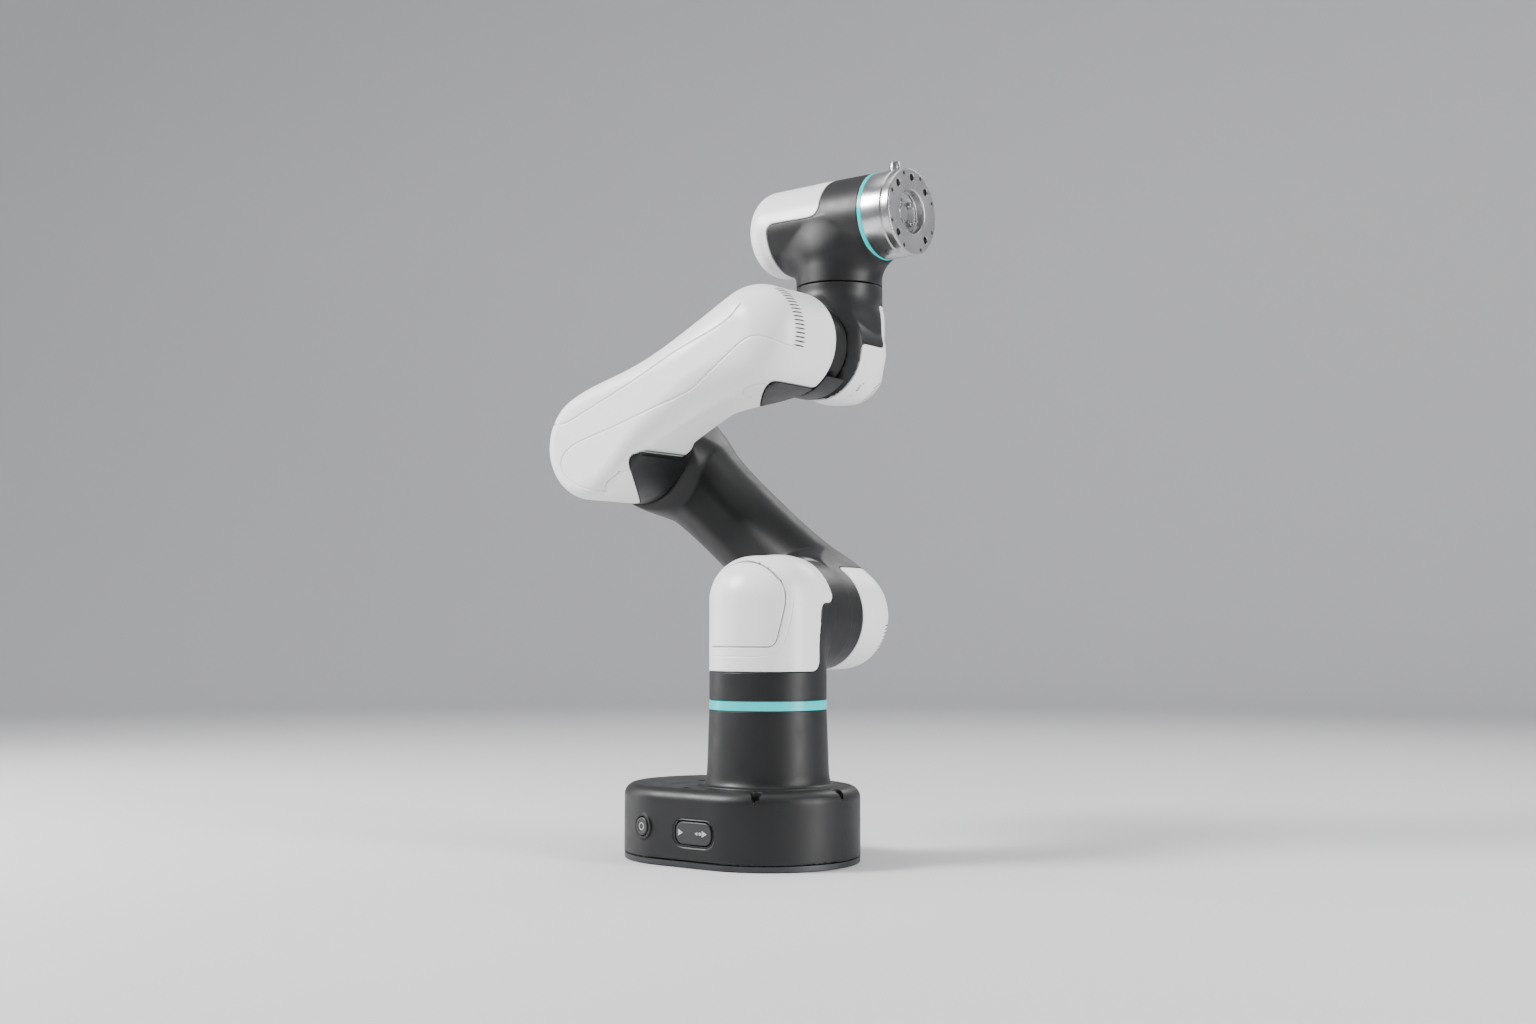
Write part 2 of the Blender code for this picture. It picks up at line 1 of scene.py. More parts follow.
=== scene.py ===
"""Looks of the six-axis desktop robot arm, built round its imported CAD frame.

The visible castings and shells are distance fields, in millimetres, turned into quad meshes. A field is
negative inside its piece. Each piece rides on its CAD body and stands for the CAD node that it replaces."""

import json
import math

import bmesh
import bpy
import numpy as np
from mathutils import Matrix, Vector


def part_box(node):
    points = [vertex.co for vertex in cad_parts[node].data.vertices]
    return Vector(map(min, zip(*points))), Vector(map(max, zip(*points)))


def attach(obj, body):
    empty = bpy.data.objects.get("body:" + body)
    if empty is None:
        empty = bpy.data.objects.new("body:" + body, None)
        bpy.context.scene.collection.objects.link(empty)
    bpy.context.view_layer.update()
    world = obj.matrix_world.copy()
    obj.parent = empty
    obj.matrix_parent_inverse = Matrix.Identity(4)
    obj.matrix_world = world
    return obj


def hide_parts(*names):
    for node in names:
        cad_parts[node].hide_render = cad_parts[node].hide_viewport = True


MM = 0.001
CELL = 1.6
SEAM_ROUND = 0.7
SEAM_GAP = 0.45
JOINT_GAP = 0.3
SHELL = 3.2
UNDER_SHELL = 0.4
REFINED = 1.2
LATHE_STEPS = 128

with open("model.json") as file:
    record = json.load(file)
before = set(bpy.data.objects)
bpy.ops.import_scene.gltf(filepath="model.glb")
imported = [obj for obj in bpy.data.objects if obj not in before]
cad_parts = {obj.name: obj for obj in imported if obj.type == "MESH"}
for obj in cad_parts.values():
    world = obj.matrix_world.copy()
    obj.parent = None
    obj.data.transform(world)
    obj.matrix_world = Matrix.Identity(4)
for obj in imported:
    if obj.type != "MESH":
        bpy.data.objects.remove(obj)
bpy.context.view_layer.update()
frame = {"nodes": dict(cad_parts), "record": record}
record = frame["record"]
hinges = {j["name"]: np.array(j["pos_m"]) / MM for j in record["behaviour"]["joints"] if "pos_m" in j}
J2, J3, J4 = hinges["j2_shoulder"], hinges["j3_elbow"], hinges["j4_wrist_bend"]
J5, J6 = hinges["j5_wrist_turn"], hinges["j6_flange_turn"]
X, Y, Z = np.eye(3)


def unit(vector):
    return vector / np.linalg.norm(vector)


UPPER = unit(J3 - J2)
FORE = unit(J4 - J3)
FORE_LENGTH = np.linalg.norm(J4 - J3)


def span(node, axis):
    """Lowest and highest place of a CAD node along X, Y or Z, in millimetres."""
    low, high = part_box(node)
    return low[axis] / MM, high[axis] / MM


RING_LOW, RING_HIGH = span("base_light_ring", 2)
COLUMN_RADIUS = span("base_light_ring", 0)[1]
FOOT_REAR_X = -46.0
FOOT_TOP = 50.0
PLATE_TOP = span("base_plate", 2)[1]
SHOULDER_TOP = span("shoulder_cover", 2)[1]
COVER_LOW_Z = span("shoulder_cover", 2)[0]
UPPER_NEAR_Y = span("upper_arm_casting", 1)[0]
UPPER_FAR_Y = span("shoulder_end_cap", 1)[1]
UPPER_CAP_Y = span("shoulder_end_cap", 1)[0]
WRIST_BACK_X = span("wrist_2_cap", 0)[0]
TOOL_NEAR_X, TOOL_FACE_X = span("flange_body", 0)


# Fields ---------------------------------------------------------------------------------------------


def round_max(a, b, radius):
    """The common part of two fields, its edge rounded."""
    corner = np.hypot(np.maximum(a + radius, 0), np.maximum(b + radius, 0))
    return np.minimum(np.maximum(a, b), -radius) + corner


def round_min(a, b, radius):
    """Two fields joined, with a fillet."""
    return -round_max(-a, -b, radius)


def turned(p, centre, axis):
    """Distance of each point from an axis, and its place along it."""
    away = p - centre
    along = away @ axis
    return np.linalg.norm(away - along[:, None] * axis, axis=1), along


def drum(p, centre, axis, radius, low, high, low_round=SEAM_ROUND, high_round=SEAM_ROUND):
    """A cylinder round an axis, between two places along it, with rounded edges."""
    away, along = turned(p, centre, axis)
    return np.maximum(round_max(away - radius, low - along, low_round),
                      round_max(away - radius, along - high, high_round))


def arm_place(p, start, along):
    """Each point's place along a link, up across it in the XZ plane, and along Y."""
    away = p - start
    up = np.array([-along[2], 0, along[0]])
    return away @ along, away @ up, away[:, 1]


def rise(value, start, end):
    """From 0 at the start to 1 at the end, smoothly."""
    share = np.clip((value - start) / (end - start), 0, 1)
    return share * share * (3 - 2 * share)


def link_plan(p, start, end, radius_start, radius_end, above, below, reach_above, reach_below):
    """A link's outline in the XZ plane: round at both joints, with a waist between them."""
    length = np.linalg.norm(end - start)
    along, up, _ = arm_place(p, start, (end - start) / length)
    share = np.clip(along, 0, length)
    upper = rise(up, -20, 20)
    waist = below + (above - below) * upper
    reach = reach_below + (reach_above - reach_below) * upper
    radius = (waist + (radius_start - waist) * np.exp(-((share / reach) ** 2))
              + (radius_end - waist) * np.exp(-(((length - share) / reach) ** 2)))
    return np.hypot(along - share, up) - radius


def between(plan, y, near, far, near_round, far_round):
    """A plan given thickness along Y, with rounded edges."""
    return np.maximum(round_max(plan, near - y, near_round), round_max(plan, y - far, far_round))


def near_joint(p, joint, radius, reach=12.0):
    """1 on a joint's disc, and 0 some way beyond it."""
    return 1 - rise(np.hypot(p[:, 0] - joint[0], p[:, 2] - joint[2]), radius, radius + reach)


def path_distance(a, b, points):
    """Distance to a line through the points, in their plane."""
    best = np.full(len(a), 1e9)
    for (a0, b0), (a1, b1) in zip(points, points[1:]):
        run_a, run_b = a1 - a0, b1 - b0
        share = ((a - a0) * run_a + (b - b0) * run_b) / (run_a**2 + run_b**2)
        share = np.clip(share, 0, 1)
        best = np.minimum(best, np.hypot(a - a0 - share * run_a, b - b0 - share * run_b))
    return best


def smooth_path(points, steps=6):
    """A smooth line through the points, as in a Catmull-Rom spline."""
    points = [np.array(point, float) for point in points]
    padded = [2 * points[0] - points[1], *points, 2 * points[-1] - points[-2]]
    line = []
    for a, b, c, d in zip(padded, padded[1:], padded[2:], padded[3:]):
        for step in range(steps):
            t = step / steps
            line.append(0.5 * (2 * b + (c - a) * t + (2 * a - 5 * b + 4 * c - d) * t**2
                               + (3 * b - a - 3 * c + d) * t**3))
    return [tuple(point) for point in [*line, points[-1]]]


def shell(outer, region, lines=0.0):
    """The skin of a form where a region is, with the grooves that lines adds."""
    return np.maximum(round_max(outer + lines, region, SEAM_ROUND), -outer - SHELL)


def groove(distance, half_width, depth):
    """What a V groove with soft edges adds to a field."""
    share = np.clip(1 - np.abs(distance) / half_width, 0, 1)
    return depth * share * share * (3 - 2 * share)


def added(name, data):
    """A new object in the scene."""
    obj = bpy.data.objects.new(name, data)
    bpy.context.scene.collection.objects.link(obj)
    return obj


# Meshes from fields ---------------------------------------------------------------------------------

BLOCK = 8


def sample(field, low, counts, cell):
    """The field on a grid, worked out finely only in blocks near its surface."""
    blocks = -(-counts // BLOCK)
    corners = np.stack(np.meshgrid(*map(np.arange, blocks), indexing="ij"), -1).reshape(-1, 3)
    rough = field(low + cell * (corners * BLOCK + (BLOCK - 1) / 2))
    near = corners[np.abs(rough) < BLOCK * cell * 1.3]
    offsets = np.stack(np.meshgrid(*[np.arange(BLOCK)] * 3, indexing="ij"), -1).reshape(-1, 3)
    values = np.repeat(rough, BLOCK**3).reshape(*blocks, BLOCK, BLOCK, BLOCK)
    for part in np.array_split(near, max(1, len(near) // 400)):
        points = low + cell * (part[:, None] * BLOCK + offsets)
        values[tuple(part.T)] = field(points.reshape(-1, 3)).reshape(-1, BLOCK, BLOCK, BLOCK)
    return values.transpose(0, 3, 1, 4, 2, 5).reshape(blocks * BLOCK)


def surface_net(values, low, cell):
    """One point in each cell that the surface crosses, and the quads that join them."""
    inside = values < 0
    shifts = np.stack(np.meshgrid([0, 1], [0, 1], [0, 1], indexing="ij"), -1).reshape(-1, 3)
    size = np.array(values.shape) - 1
    count = sum(inside[a:a + size[0], b:b + size[1], c:c + size[2]].astype(np.int8) for a, b, c in shifts)
    cells = np.argwhere((count > 0) & (count < 8))
    index = np.full(size, -1)
    index[tuple(cells.T)] = np.arange(len(cells))
    total, crossings = np.zeros((len(cells), 3)), np.zeros(len(cells))
    quads = []
    for axis in range(3):
        step = np.eye(3, dtype=int)[axis]
        for shift in shifts[shifts[:, axis] == 0]:
            start, end = values[tuple((cells + shift).T)], values[tuple((cells + shift + step).T)]
            crosses = (start < 0) != (end < 0)
            share = start / np.where(crosses, start - end, 1)
            total += np.where(crosses[:, None], shift + share[:, None] * step, 0)
            crossings += crosses
        first = np.eye(3, dtype=int)[(axis + 1) % 3]
        second = np.eye(3, dtype=int)[(axis + 2) % 3]
        stop = [slice(None)] * 3
        stop[axis] = slice(0, -1)
        go = [slice(None)] * 3
        go[axis] = slice(1, None)
        starts, ends = inside[tuple(stop)], inside[tuple(go)]
        edges = np.argwhere(starts != ends)
        across = edges[:, [(axis + 1) % 3, (axis + 2) % 3]]
        limits = size[[(axis + 1) % 3, (axis + 2) % 3]]
        edges = edges[((across > 0) & (across < limits)).all(axis=1)]
        around = [index[tuple((edges - back).T)] for back in (0 * first, first, first + second, second)]
        faces = np.stack(around, 1)
        outward = starts[tuple(edges.T)]
        quads.append(np.where(outward[:, None], faces, faces[:, ::-1]))
    points = low + cell * (cells + total / crossings[:, None])
    return points, np.concatenate(quads)


def slope(field, points, step=0.04):
    """How the field changes along X, Y and Z at each point."""
    changes = [field(points + step * axis) - field(points - step * axis) for axis in (X, Y, Z)]
    return np.stack(changes, 1) / (2 * step)


def settle(field, points, reach, rounds=4):
    """Moves the points onto the field's surface."""
    for _ in range(rounds):
        lean = slope(field, points)
        move = -field(points)[:, None] * lean / np.maximum((lean**2).sum(1), 0.2)[:, None]
        length = np.linalg.norm(move, axis=1)[:, None]
        points = points + move * np.minimum(1, reach / np.maximum(length, 1e-9))
    return points


def field_mesh(name, field, low, high, fine=None, cell=None, cuts=2):
    """A mesh of the field inside a box, with smaller faces where the distance that fine gives is small."""
    cell = cell or CELL
    low, high = np.array(low, float) - 3 * cell, np.array(high, float) + 3 * cell
    counts = np.ceil((high - low) / cell).astype(int) + 1
    points, quads = surface_net(sample(field, low, counts, cell), low, cell)
    points = settle(field, points, cell / 2)
    mesh = bpy.data.meshes.new(name)
    mesh.from_pydata(points.tolist(), [], quads.tolist())
    if fine:
        near = fine(points) < REFINED
        bm = bmesh.new()
        bm.from_mesh(mesh)
        edges = [edge for edge in bm.edges if near[edge.verts[0].index] or near[edge.verts[1].index]]
        bmesh.ops.subdivide_edges(bm, edges=edges, cuts=cuts, use_grid_fill=True)
        bmesh.ops.triangulate(bm, faces=[face for face in bm.faces if len(face.verts) > 4])
        bm.to_mesh(mesh)
        bm.free()
        points = np.empty(len(mesh.vertices) * 3)
        mesh.vertices.foreach_get("co", points)
        points = settle(field, points.reshape(-1, 3), cell / 3, 3)
    normals = slope(field, points)
    normals /= np.maximum(np.linalg.norm(normals, axis=1), 1e-9)[:, None]
    mesh.vertices.foreach_set("co", (points * MM).ravel())
    mesh.update()
    mesh.shade_smooth()
    mesh.normals_split_custom_set_from_vertices(normals.tolist())
    return added(name, mesh)


# Meshes by turning ----------------------------------------------------------------------------------


def bevelled(profile, width, steps=3):
    """The profile with each of its corners rounded by up to the given width."""
    line = [Vector(profile[0])]
    for before, corner, after in zip(profile, profile[1:], profile[2:]):
        corner = Vector(corner)
        back, on = Vector(before) - corner, Vector(after) - corner
        reach = min(width, 0.45 * back.length, 0.45 * on.length)
        start, end = corner + back.normalized() * reach, corner + on.normalized() * reach
        for step in range(steps + 1):
            t = step / steps
            line.append(start * (1 - t) ** 2 + corner * 2 * t * (1 - t) + end * t**2)
    return [*line, Vector(profile[-1])]


def lathe(name, profile, centre, axis, steps=LATHE_STEPS, closed=False):
    """Turns (radius, place along the axis) points round an axis."""
    turn = Vector(axis).to_track_quat("Z", "X").to_matrix()
    bm = bmesh.new()
    rows = []
    for radius, along in profile:
        count = steps if radius > 1e-6 else 1
        turns = [2 * math.pi * i / steps for i in range(count)]
        places = [turn @ Vector((radius * math.cos(t), radius * math.sin(t), along)) for t in turns]
        rows.append([bm.verts.new((place + Vector(centre)) * MM) for place in places])
    for lower, upper in zip(rows, rows[1:] + rows[:1] if closed else rows[1:]):
        for i in range(steps):
            j = (i + 1) % steps
            corners = [(lower, i), (lower, j), (upper, j), (upper, i)]
            unique = list(dict.fromkeys(row[at % len(row)] for row, at in corners))
            if len(unique) > 2:
                bm.faces.new(unique)
    return made_of(name, bm)


def made_of(name, bm, sharp=40):
    """An object from a bmesh, smooth but for edges sharper than an angle in degrees."""
    bmesh.ops.recalc_face_normals(bm, faces=bm.faces)
    mesh = bpy.data.meshes.new(name)
    bm.to_mesh(mesh)
    bm.free()
    mesh.shade_smooth()
    mesh.set_sharp_from_angle(angle=math.radians(sharp))
    return added(name, mesh)


def plate(name, outline, low, high, place):
    """A flat piece between two heights; place turns (a, b, height) into a point in millimetres."""
    bm = bmesh.new()
    rows = [[bm.verts.new(Vector(place(a, b, height)) * MM) for a, b in outline] for height in (low, high)]
    for i in range(len(outline)):
        j = (i + 1) % len(outline)
        bm.faces.new((rows[0][i], rows[0][j], rows[1][j], rows[1][i]))
    bm.faces.new(rows[0])
    bm.faces.new(rows[1])
    return made_of(name, bm, 30)


def cut(obj, cutters):
    """Takes the cutters out of a piece and removes them."""
    for cutter in cutters:
        modifier = obj.modifiers.new("cut", "BOOLEAN")
        modifier.object = cutter
        modifier.operation = "DIFFERENCE"
    bpy.context.view_layer.update()
    graph = bpy.context.evaluated_depsgraph_get()
    mesh = bpy.data.meshes.new_from_object(obj.evaluated_get(graph))
    obj.modifiers.clear()
    obj.data = mesh
    for cutter in cutters:
        bpy.data.objects.remove(cutter, do_unlink=True)
    mesh.set_sharp_from_angle(angle=math.radians(35))
    return obj


# Materials ------------------------------------------------------------------------------------------


class Look:
    """A Principled material with small helpers for its pattern nodes."""

    def __init__(self, name, colour, metallic=0.0, roughness=0.5):
        self.material = bpy.data.materials.new(name)
        self.material.use_nodes = True
        self.nodes = self.material.node_tree.nodes
        self.links = self.material.node_tree.links
        self.shader = self.nodes["Principled BSDF"]
        self.place = self.nodes.new("ShaderNodeTexCoord").outputs["Object"]
        self.set("Base Color", (*colour, 1))
        self.set("Metallic", metallic)
        self.set("Roughness", roughness)
        self.colour = colour

    def set(self, socket, value):
        self.shader.inputs[socket].default_value = value

    def noise(self, scale, detail=3.0):
        node = self.nodes.new("ShaderNodeTexNoise")
        node.inputs["Scale"].default_value = scale
        node.inputs["Detail"].default_value = detail
        self.links.new(self.place, node.inputs["Vector"])
        return node.outputs["Fac"]

    def vary_roughness(self, source, low, high):
        ramp = self.nodes.new("ShaderNodeMapRange")
        ramp.inputs["From Min"].default_value = 0.3
        ramp.inputs["From Max"].default_value = 0.7
        ramp.inputs["To Min"].default_value = low
        ramp.inputs["To Max"].default_value = high
        self.links.new(source, ramp.inputs["Value"])
        self.links.new(ramp.outputs["Result"], self.shader.inputs["Roughness"])

    def vary_colour(self, source, spread):
        ramp = self.nodes.new("ShaderNodeValToRGB")
        ramp.color_ramp.elements[0].position = 0.35
        ramp.color_ramp.elements[1].position = 0.65
        ramp.color_ramp.elements[0].color = (*[c * (1 - spread) for c in self.colour], 1)
        ramp.color_ramp.elements[1].color = (*[min(1, c * (1 + spread)) for c in self.colour], 1)
        self.links.new(source, ramp.inputs["Fac"])
        self.links.new(ramp.outputs["Color"], self.shader.inputs["Base Color"])

    def bump(self, source, distance, strength=1.0):
        node = self.nodes.new("ShaderNodeBump")
        node.inputs["Distance"].default_value = distance
        node.inputs["Strength"].default_value = strength
        self.links.new(source, node.inputs["Height"])
        self.links.new(node.outputs["Normal"], self.shader.inputs["Normal"])


def charcoal_look(name="satin charcoal coat", colour=(0.0085, 0.0087, 0.0092)):
    """A fine, slightly grainy powder coat on cast metal."""
    look = Look(name, colour)
    look.set("Specular IOR Level", 0.38)
    look.vary_colour(look.noise(35), 0.12)
    look.vary_roughness(look.noise(90), 0.4, 0.5)
    look.bump(look.noise(2600, 2), 0.00002, 0.5)
    return look.material


def white_look():
    """Satin white moulded shells with a faint moulding texture."""
    look = Look("satin white shell", (0.86, 0.86, 0.86))
    look.set("Coat Weight", 0.15)
    look.set("Coat Roughness", 0.25)
    look.vary_colour(look.noise(18), 0.012)
    look.vary_roughness(look.noise(70), 0.34, 0.42)
    look.bump(look.noise(3000, 2), 0.00001, 0.4)
    return look.material


def turned_look(name, colour, centre, axis, roughness, pitch=900.0):
    """Metal turned on a lathe: fine rings round an axis."""
    look = Look(name, colour, metallic=1.0)
    mapping = look.nodes.new("ShaderNodeMapping")
    mapping.vector_type = "TEXTURE"
    mapping.inputs["Location"].default_value = Vector(centre) * MM
    look.links.new(look.place, mapping.inputs["Vector"])
    rings = look.nodes.new("ShaderNodeTexWave")
    rings.wave_type = "RINGS"
    rings.rings_direction = axis
    rings.inputs["Scale"].default_value = pitch
    rings.inputs["Distortion"].default_value = 0.0
    look.links.new(mapping.outputs["Vector"], rings.inputs["Vector"])
    look.set("Anisotropic", 0.5)
    look.vary_colour(look.noise(20), 0.03)
    look.vary_roughness(look.noise(40), roughness - 0.03, roughness + 0.04)
    look.bump(rings.outputs["Fac"], 0.000004, 0.15)
    return look.material


def metal_look(name, colour, roughness):
    look = Look(name, colour, metallic=1.0)
    look.vary_colour(look.noise(50), 0.08)
    look.vary_roughness(look.noise(200), roughness - 0.06, roughness + 0.08)
    look.bump(look.noise(900), 0.00002, 0.4)
    return look.material


def plastic_look(name, colour, roughness):
    look = Look(name, colour)
    look.vary_colour(look.noise(60), 0.08)
    look.vary_roughness(look.noise(240), roughness - 0.05, roughness + 0.05)
    look.bump(look.noise(1800), 0.00002, 0.5)
    return look.material


def light_look(name, colour, glow):
    look = Look(name, [0.3 * c for c in colour], roughness=0.3)
    look.set("Emission Color", (*colour, 1))
    look.set("Emission Strength", glow)
    look.vary_roughness(look.noise(120), 0.25, 0.35)
    return look.material


CHARCOAL = charcoal_look()
WHITE = white_look()
BUTTON = plastic_look("charcoal button", (0.024, 0.0245, 0.026), 0.4)
# Painted shade: a flat dark colour for the shade inside the vent slits.
VENT_SLIT_SHADE = plastic_look("shaded vent", (0.02, 0.02, 0.021), 0.6)
BLACK = plastic_look("black connector plastic", (0.012, 0.012, 0.013), 0.42)
GREEN = plastic_look("circuit board green", (0.015, 0.12, 0.05), 0.4)
ZINC = metal_look("dark zinc-plated sheet", (0.07, 0.072, 0.075), 0.45)
MOTOR = metal_look("laminated motor steel", (0.12, 0.12, 0.125), 0.42)
STEEL = metal_look("bright machined steel", (0.42, 0.42, 0.43), 0.28)
ALUMINIUM = turned_look("fine-turned aluminium", (0.5, 0.5, 0.505), (0, J6[1], J6[2]), "X", 0.27)
CYAN = light_look("cyan light guide", (0.0, 0.9, 0.94), 0.6)
ICON = light_look("white key symbol", (0.8, 0.8, 0.8), 0.5)


def dress(obj, look, body, nodes=()):
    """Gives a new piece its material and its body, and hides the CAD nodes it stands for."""
    obj.data.materials.clear()
    obj.data.materials.append(look)
    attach(obj, body)
    if nodes:
        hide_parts(*nodes)
    return obj


# Base -----------------------------------------------------------------------------------------------

FOOT_RADIUS = 62.0
BUTTON_TURN = math.radians(11)
BUTTON_OUT = np.array([-math.sin(BUTTON_TURN), -math.cos(BUTTON_TURN), 0])
BUTTON_AT = np.array([FOOT_REAR_X, 0, 24.0]) + FOOT_RADIUS * BUTTON_OUT
ROCKER_X, ROCKER_Z = hinges["mode_rocker_tilt"][0], hinges["mode_rocker_tilt"][2]
POCKETS = [math.radians(-60 * i) for i in range(6)]
POCKET_CIRCLE = 57.0
POCKET_RADIUS = 3.3
PLATE_RADIUS = 61.8
PLATE_HOLE_RADIUS = 3.3
PLATE_HOLES = [(x, y) for x in (-85, 34) for y in (-38, 38)]


def foot_side(p):
    """Distance to the foot's upright wall: two flat sides and two half-round ends."""
    beyond = p[:, 0] - np.clip(p[:, 0], FOOT_REAR_X, 0)
    return np.hypot(beyond, p[:, 1]) - FOOT_RADIUS


def pill(p):
    """Distance in the XZ plane to the rocker's outline."""
    a = np.abs(p[:, 0] - ROCKER_X) - 15.0 + 6
    b = np.abs(p[:, 2] - ROCKER_Z) - 7.3 + 6
    return np.hypot(np.maximum(a, 0), np.maximum(b, 0)) + np.minimum(np.maximum(a, b), 0) - 6


def base_field(p):
    z = p[:, 2]
    side, away = foot_side(p), np.hypot(p[:, 0], p[:, 1])
    body = round_max(side, z - FOOT_TOP, 8.0)
    body = np.maximum(body, PLATE_TOP + JOINT_GAP - z)
    collar = round_max(away - 46.5, z - FOOT_TOP - 1.0, 0.6)
    body = round_min(body, collar, 0.5)
    taper = COLUMN_RADIUS + 1.4 * np.clip((RING_LOW - z) / 41, 0, 1)
    flare = 2.4 * np.exp(-np.maximum(z - FOOT_TOP - 1, 0) / 2.6)
    column = round_max(away - taper - flare, z - RING_LOW + JOINT_GAP, SEAM_ROUND)
    body = round_min(body, column, 1.0)
    near_button, out = turned(p, BUTTON_AT, BUTTON_OUT)
    bezel = np.maximum(round_max(near_button - 8.8, out - 0.9, 0.7), -2 - out)
    body = round_min(body, bezel, 0.4)
    body = np.maximum(body, -np.maximum(near_button - 6.4, -12 - out))
    key = np.where(p[:, 1] < -40, pill(p), 20.0)
    body = body + groove(key - 1.9, 0.8, 0.45)
    body = round_max(body, 0.5 - key, 0.35)
    for angle in POCKETS:
        at = POCKET_CIRCLE * np.array([math.cos(angle), math.sin(angle), 0])
        pocket = np.hypot(p[:, 0] - at[0], p[:, 1] - at[1]) - POCKET_RADIUS
        body = round_max(body, -np.maximum(pocket, 41.5 - z), 0.4)
    back = np.maximum.reduce([p[:, 0] + 89, np.abs(p[:, 1]) - 31.4, np.abs(z - 25) - 16])
    body = round_max(body, -back, 0.5)
    hollow = np.minimum(np.maximum(side + 3, z - 40), np.maximum(away - 34.2, z - 97))
    return np.maximum(body, -np.minimum(hollow, away - 31))


def base_fine(p):
    near_button, out = turned(p, BUTTON_AT, BUTTON_OUT)
    button = np.where(np.abs(out) < 4, np.abs(near_button - 7.8) - 1.5, 9)
    key = np.where(p[:, 1] < -55, np.abs(pill(p) - 1), 9)
    places = [(POCKET_CIRCLE * math.cos(angle), POCKET_CIRCLE * math.sin(angle)) for angle in POCKETS]
    pockets = [np.hypot(p[:, 0] - x, p[:, 1] - y) - POCKET_RADIUS for x, y in places]
    pocket = np.where(p[:, 2] > 40, np.min(pockets, axis=0), 9)
    rim = np.where(np.abs(p[:, 2] - FOOT_TOP) < 3, np.abs(np.hypot(p[:, 0], p[:, 1]) - 45) - 1.5, 9)
    top = np.where(np.hypot(p[:, 0], p[:, 1]) > 36, np.abs(p[:, 2] - RING_LOW), 9)
    return np.minimum.reduce([button, key, pocket, rim, top])


def build_base():
    skin = field_mesh("base_housing_casting", base_field, (-108, -62, 3), (62, 62, 101), base_fine)
    dress(skin, CHARCOAL, "base", ["base_housing"])

    # The floor plate, with the four holes for the mounting screws.
    outline = []
    for centre_x, start in ((0, -math.pi / 2), (FOOT_REAR_X, math.pi / 2)):
        turns = [start + math.pi * step / 48 for step in range(49)]
        outline += [(centre_x + PLATE_RADIUS * math.cos(t), PLATE_RADIUS * math.sin(t)) for t in turns]
    floor = plate("floor_plate", outline, 0, PLATE_TOP, lambda a, b, height: (a, b, height))
    profile = [(0, -2), (PLATE_HOLE_RADIUS, -2), (PLATE_HOLE_RADIUS, 6), (0, 6)]
    holes = [lathe("hole", profile, (x, y, 0), (0, 0, 1), 32) for x, y in PLATE_HOLES]
    dress(cut(floor, holes), ZINC, "base", ["base_plate"])

    # Screws in the pockets of the foot's top.
    for number, angle in enumerate(POCKETS, 1):
        at = (POCKET_CIRCLE * math.cos(angle), POCKET_CIRCLE * math.sin(angle), 41.6)
        profile = [(0, 0), (2.7, 0), (2.7, 2.2), (1.4, 2.2), (1.4, 0.9), (0, 0.9)]
        head = lathe(f"foot_screw_{number}", bevelled(profile, 0.3), at, (0, 0, 1), 32)
        dress(head, STEEL, "base", ())

    # The ring of light under the first joint.
    profile = [(31.3, RING_LOW), (COLUMN_RADIUS, RING_LOW), (COLUMN_RADIUS, RING_HIGH), (31.3, RING_HIGH)]
    ring = lathe("base_light_band", profile, (0, 0, 0), (0, 0, 1), closed=True)
    dress(ring, CYAN, "base", ["base_light_ring"])

    # The round button, dished, with its ring symbol.
    profile = [(0, -6), (5.9, -6), (5.9, 1.2), (4.6, 1.6), (3.9, 1.35), (0, 1.2)]
    button = lathe("power_button_cap", bevelled(profile, 0.4), BUTTON_AT, BUTTON_OUT, 64)
    dress(button, BUTTON, "power_button", ["power_button"])
    profile = [(2.0, 1.1), (2.5, 1.1), (2.5, 1.45), (2.0, 1.45)]
    symbol = lathe("power_symbol", profile, BUTTON_AT, BUTTON_OUT, 48, closed=True)
    dress(symbol, ICON, "power_button", ())

    # The rocker key in the near flat side, with its play and drag symbols.
    def rocker_field(p):
        face = -p[:, 1] - FOOT_RADIUS - 0.5 + 0.5 * ((p[:, 0] - ROCKER_X) / 15) ** 2
        front = np.where(p[:, 0] > 0, foot_side(p) - 0.3, face)
        return np.maximum(round_max(pill(p), np.maximum(front, foot_side(p) - 0.6), 0.8), p[:, 1] + 58)

    key = field_mesh("rocker_key", rocker_field, (-30, -64, 13), (4, -57, 31), cell=0.6)
    dress(key, BUTTON, "mode_rocker", ["mode_rocker"])
    face_y = -FOOT_RADIUS - 0.75

    def on_face(a, b, height):
        return (a, face_y + height, ROCKER_Z + 0.2 + b)

    def triangle(x, size, way):
        return [(x - way * size, -size * 1.1), (x + way * size, 0), (x - way * size, size * 1.1)]

    symbols = {"play_symbol": triangle(-23.8, 1.9, 1), "drag_left_symbol": triangle(-10.6, 1.1, -1),
               "drag_right_symbol": triangle(-3.8, 1.9, 1)}
    for name, outline in symbols.items():
        dress(plate(name, outline, 0, 0.5, on_face), ICON, "mode_rocker", ())
    turns = [2 * math.pi * i / 32 for i in range(32)]
    dot = [(-7.4 + 1.0 * math.cos(t), 1.0 * math.sin(t)) for t in turns]
    dress(plate("drag_dot_symbol", dot, 0, 0.5, on_face), ICON, "mode_rocker", ())


# Shoulder -------------------------------------------------------------------------------------------

PANEL_LINE = 6.5  # how far outside the service panel the cover's fine line runs


def shoulder_outer(p):
    away, z = np.hypot(p[:, 0], p[:, 1]), p[:, 2]
    upright = np.maximum(round_max(away - COLUMN_RADIUS, z - SHOULDER_TOP, 30.0), RING_HIGH + JOINT_GAP - z)
    over = drum(p, J2, Y, 40.4, -4, 23, 12, 0.5)
    return round_min(upright, over, 4.0)


